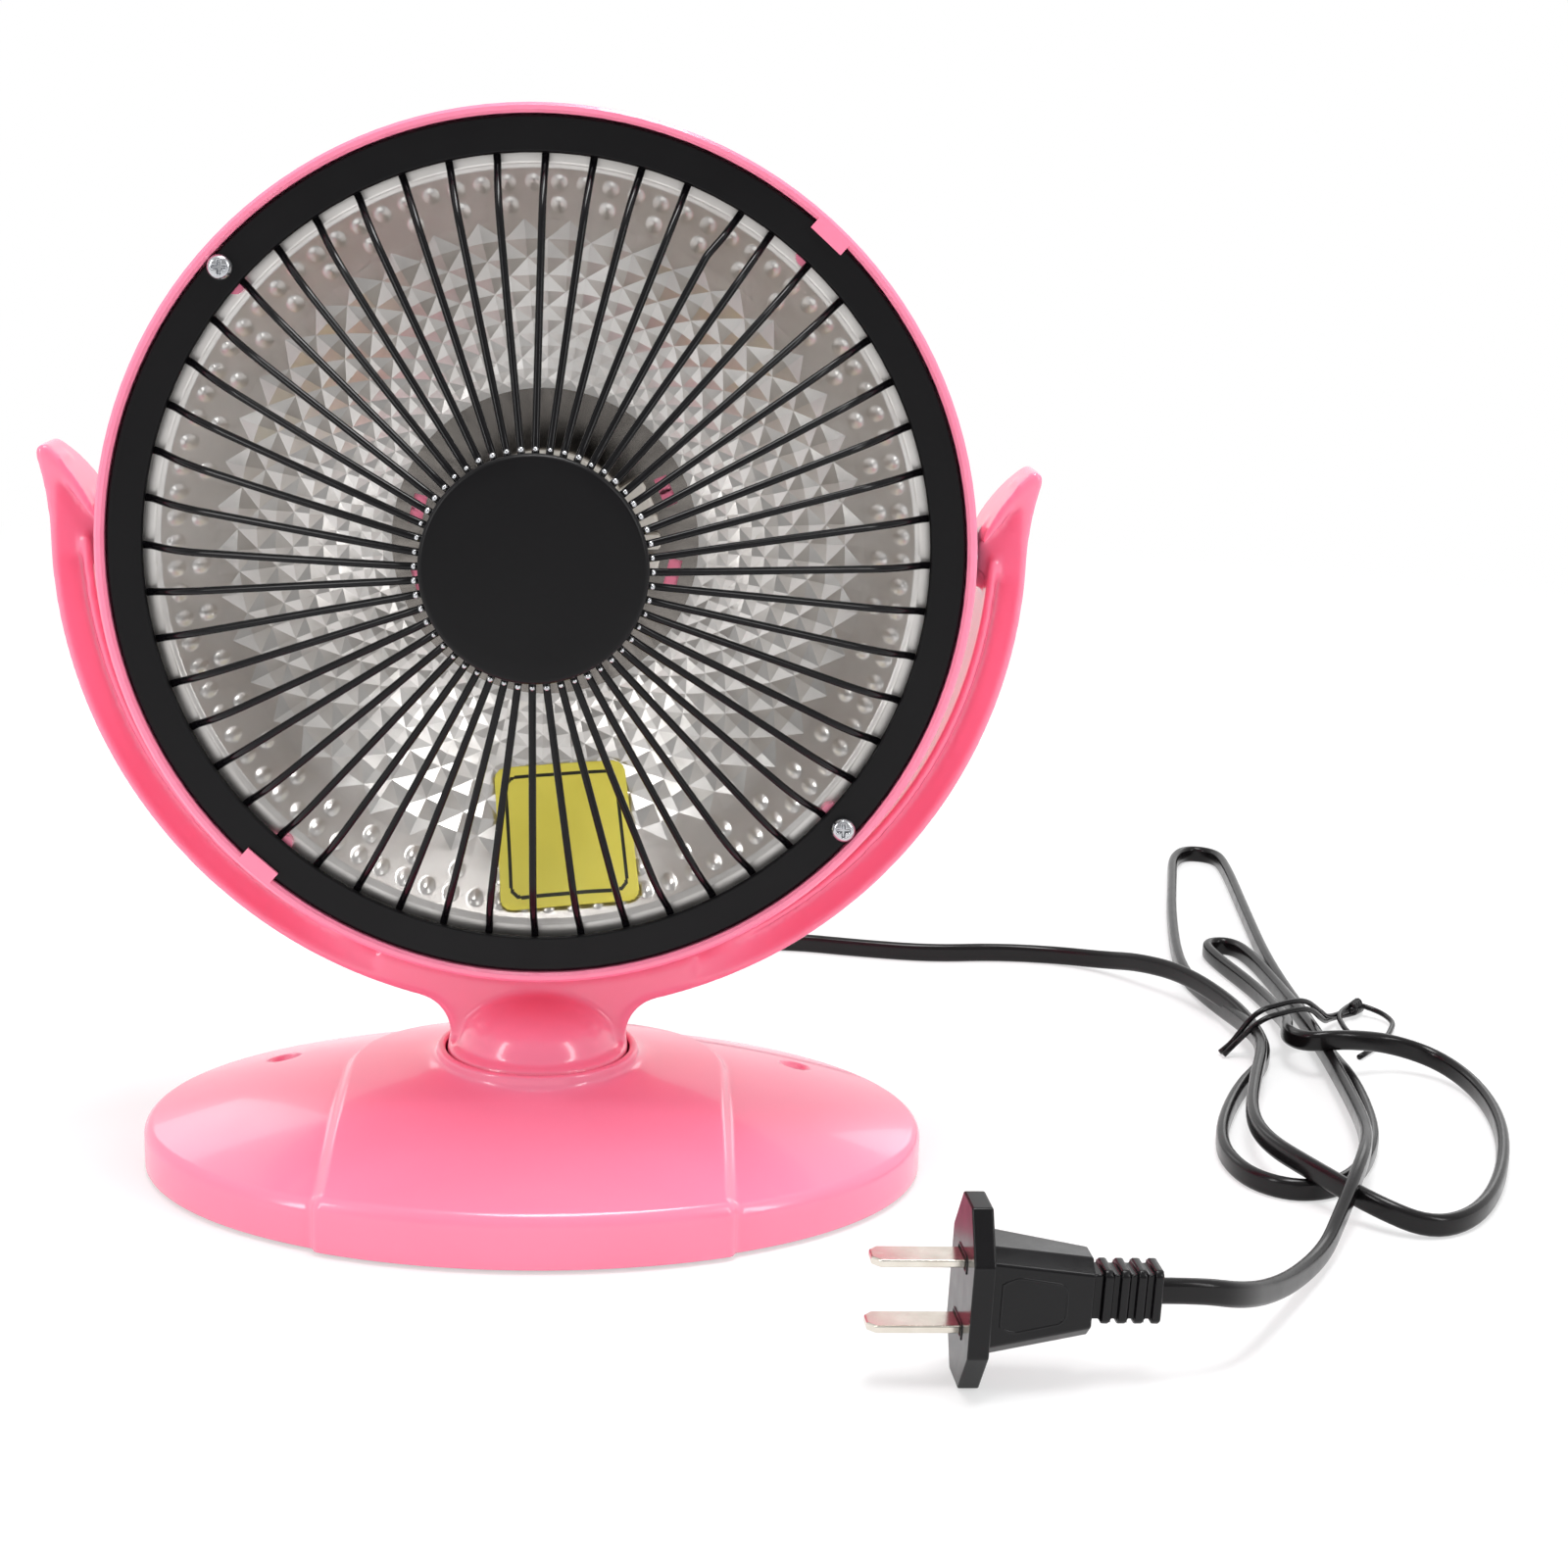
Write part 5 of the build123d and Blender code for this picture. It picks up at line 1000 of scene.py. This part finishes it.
plugParts = []
for side in (-1, 1):
    edge = []
    for along, up in plug["recess"]:
        wide, taper = plug["side"]
        edge.append(onPlug(along, side * (wide + taper * along), up))
    plugParts.append(closedTube(edge, plug["frame"]))
for level in (-1, 1):
    across, high = plug["slotHalf"]
    corners = ((-across, -high), (across, -high), (across, high), (-across, high))
    edge = [onPlug(plug["slotFront"], side, level * plug["blades"] / 2 + up) for side, up in corners]
    plugParts.append(closedTube(edge, plug["slotWire"]))
detailVertices, detailFaces = joined(plugParts)
place(meshObject("plugDetails", detailVertices, detailFaces, [plugPvc]), "foot", "cord_sheath")
print("plug details made")


# Twist tie: a plastic-covered wire over the bundle, with a knot and two loose loops

tie = {
    "radius": 0.7, "sides": 10, "bend": 7.0,
    "strands": (
        ((168, 75, 0.8), (171, 76, 3), (176, 74, 12.2), (190, 82, 13.2), (197, 90, 7), (201, 97, 3),
         (210, 106, 2.4), (213, 109, 2.2)),
        ((168.5, 73, 0.8), (171.5, 74, 3.6), (177, 72, 10.8), (191, 80, 11.8), (198, 89, 4.5),
         (202, 99, 2), (211, 107, 1), (214, 111, 0.8)),
        ((209, 104, 2.6), (212, 108, 3.2), (217.5, 105, 2), (219, 98, 1.6), (214, 87, 1.2),
         (208, 79, 0.8), (203, 73, 0.8)),
        ((213, 110, 3.2), (209, 106, 3.4), (204, 99, 3), (204, 90, 2), (206, 84, 1.2), (209, 81, 0.8)),
    ),
    "knot": (211.0, 107.2, 2.6), "knotTurns": 3.5, "knotRadius": 1.3, "knotLength": 4.0,
}


def tieKnot():
    # the strands wound round each other beside the bundle
    path = []
    for step in range(43):
        share = step / 42
        turn = 2 * math.pi * tie["knotTurns"] * share
        along = (share - 0.5) * tie["knotLength"]
        swing = math.cos(turn) * tie["knotRadius"] * 0.5
        x, y, z = tie["knot"]
        spot = (x + along * 0.7 + swing, y + along - swing, z + math.sin(turn) * tie["knotRadius"])
        path.append(Vector(spot) * mm)
    return tubeMesh(path, tie["radius"] * mm, tie["sides"])


tieParts = [tieKnot()]
for strand in tie["strands"]:
    tiePath = roundedPath([Vector(point) * mm for point in strand], tie["bend"] * mm, 7)
    tieParts.append(tubeMesh(tiePath, tie["radius"] * mm, tie["sides"]))
tieVertices, tieFaces = joined(tieParts)
place(meshObject("twistTie", tieVertices, tieFaces, [plugPvc]), "foot", "tie_sheath", "twist_tie")
print("tie made")


# Stage: a white floor that keeps a soft shadow, and a room that is bright behind and dim in front

stage = {
    "floorHalf": 30, "floorTones": ("#FDFDFD", "#F9F9FA"), "floorGrain": 300, "shadowNear": 0.3,
    "shadowFar": 1.0, "nearGlow": 0.55, "frontLight": 0.3, "frontReflection": 0.45,
    "lightFade": (-0.7, 0.3), "reflectionFade": (-0.75, 0.25),
}
white = (1, 1, 1, 1)

# painted board: matte white, with the faintest unevenness
floorMaterial = bpy.data.materials.new("whiteFloor")
floorMaterial.use_nodes = True
floorTree = floorMaterial.node_tree
floorShader = floorTree.nodes["Principled BSDF"]
floorShader.inputs["Roughness"].default_value = 0.8
floorSpot = addNode(floorTree, "ShaderNodeTexCoord").outputs["Object"]
floorNoise = addNode(floorTree, "ShaderNodeTexNoise", {
    "Vector": floorSpot, "Scale": 1 / (stage["floorGrain"] * mm), "Detail": 3})
floorLow, floorHigh = (linearColor(tone) for tone in stage["floorTones"])
floorColor = addNode(floorTree, "ShaderNodeMix", {
    0: floorNoise.outputs["Fac"], 6: floorLow, 7: floorHigh}, data_type="RGBA")
floorTree.links.new(floorColor.outputs[2], floorShader.inputs["Base Color"])
floorGlow = addNode(floorTree, "ShaderNodeEmission", {"Color": white, "Strength": 1.0})
floorDistance = addNode(floorTree, "ShaderNodeVectorMath", {0: floorSpot}, operation="LENGTH")
floorFade = addNode(floorTree, "ShaderNodeMapRange", {
    "Value": floorDistance.outputs["Value"], "From Min": stage["shadowNear"],
    "From Max": stage["shadowFar"], "To Min": stage["nearGlow"], "To Max": 1.0})
floorRays = addNode(floorTree, "ShaderNodeLightPath").outputs
floorSeen = addNode(floorTree, "ShaderNodeMath", {
    0: floorRays["Is Camera Ray"], 1: floorRays["Is Glossy Ray"]}, operation="MAXIMUM")
floorShare = addNode(floorTree, "ShaderNodeMath", {
    0: floorSeen.outputs["Value"], 1: floorFade.outputs["Result"]}, operation="MULTIPLY")
floorMix = addNode(floorTree, "ShaderNodeMixShader", {
    0: floorShare.outputs["Value"], 1: floorShader.outputs["BSDF"], 2: floorGlow.outputs["Emission"]})
floorTree.links.new(floorMix.outputs["Shader"], floorTree.nodes["Material Output"].inputs["Surface"])
half = stage["floorHalf"]
floor = meshObject("floor", [(-half, -half, 0), (half, -half, 0), (half, half, 0), (-half, half, 0)],
                   [(0, 1, 2, 3)], [floorMaterial], False)

world = bpy.data.worlds.new("studio")
bpy.context.scene.world = world
world.use_nodes = True
roomTree = world.node_tree
roomDirection = addNode(roomTree, "ShaderNodeTexCoord").outputs["Generated"]
roomAxes = addNode(roomTree, "ShaderNodeSeparateXYZ", {0: roomDirection})
roomRays = addNode(roomTree, "ShaderNodeLightPath").outputs
roomParts = []
for (start, end), dim in ((stage["lightFade"], stage["frontLight"]),
                          (stage["reflectionFade"], stage["frontReflection"])):
    roomParts.append(addNode(roomTree, "ShaderNodeMapRange", {
        "Value": roomAxes.outputs["Y"], "From Min": start, "From Max": end, "To Min": dim,
        "To Max": 1.0}).outputs["Result"])
roomChoice = addNode(roomTree, "ShaderNodeMix", {
    "Factor": roomRays["Is Glossy Ray"], "A": roomParts[0], "B": roomParts[1]}).outputs["Result"]
roomLight = addNode(roomTree, "ShaderNodeBackground", {"Color": white, "Strength": roomChoice})
roomWhite = addNode(roomTree, "ShaderNodeBackground", {"Color": white, "Strength": 1.0})
roomMix = addNode(roomTree, "ShaderNodeMixShader", {
    0: roomRays["Is Camera Ray"], 1: roomLight.outputs["Background"], 2: roomWhite.outputs["Background"]})
roomTree.links.new(roomMix.outputs["Shader"], roomTree.nodes["World Output"].inputs["Surface"])

# each lamp: place and target in metres, width, height and watts
lamps = {
    "topBox": ((0.1, -0.1, 1.3), (0, 0, 0.1), 0.7, 0.3, 10.0),
    "leftBox": ((-1.0, -0.7, 0.6), (0, 0, 0.1), 0.16, 0.8, 4.0),
    "rightBox": ((1.0, -0.7, 0.7), (0, 0, 0.1), 0.16, 0.8, 4.0),
    "leftWindow": ((-0.62, 1.1, 0.66), (0, 0, 0.05), 0.42, 0.4, 0.9),
    "rightWindow": ((0.66, 1.1, 0.6), (0, 0, 0.05), 0.42, 0.34, 0.9),
}


def softBox(name, spot, target, width, height, power):
    light = bpy.data.lights.new(name, "AREA")
    light.shape = "RECTANGLE"
    light.size = width
    light.size_y = height
    light.energy = power
    obj = bpy.data.objects.new(name, light)
    obj.location = spot
    obj.rotation_euler = (Vector(target) - Vector(spot)).to_track_quat("-Z", "Y").to_euler()
    bpy.context.scene.collection.objects.link(obj)


for lampName, lamp in lamps.items():
    softBox(lampName, *lamp)

camera = {
    "lens": 58.5, "sensor": 36, "near": 0.01, "spot": (20.7, -525.1, 213.1),
    "right": (0.99815, -0.05035, 0.03409), "up": (-0.02125, 0.23648, 0.9714),
    "back": (-0.05697, -0.97033, 0.23497),
}
cameraData = bpy.data.cameras.new("camera")
cameraData.lens = camera["lens"]
cameraData.sensor_width = camera["sensor"]
cameraData.clip_start = camera["near"]
cameraObject = bpy.data.objects.new("camera", cameraData)
cameraTurn = Matrix((camera["right"], camera["up"], camera["back"])).transposed()
cameraObject.matrix_world = Matrix.Translation(Vector(camera["spot"]) * mm) @ cameraTurn.to_4x4()
bpy.context.scene.collection.objects.link(cameraObject)
bpy.context.scene.camera = cameraObject
bpy.context.scene.view_settings.view_transform = "Standard"
print("stage made")
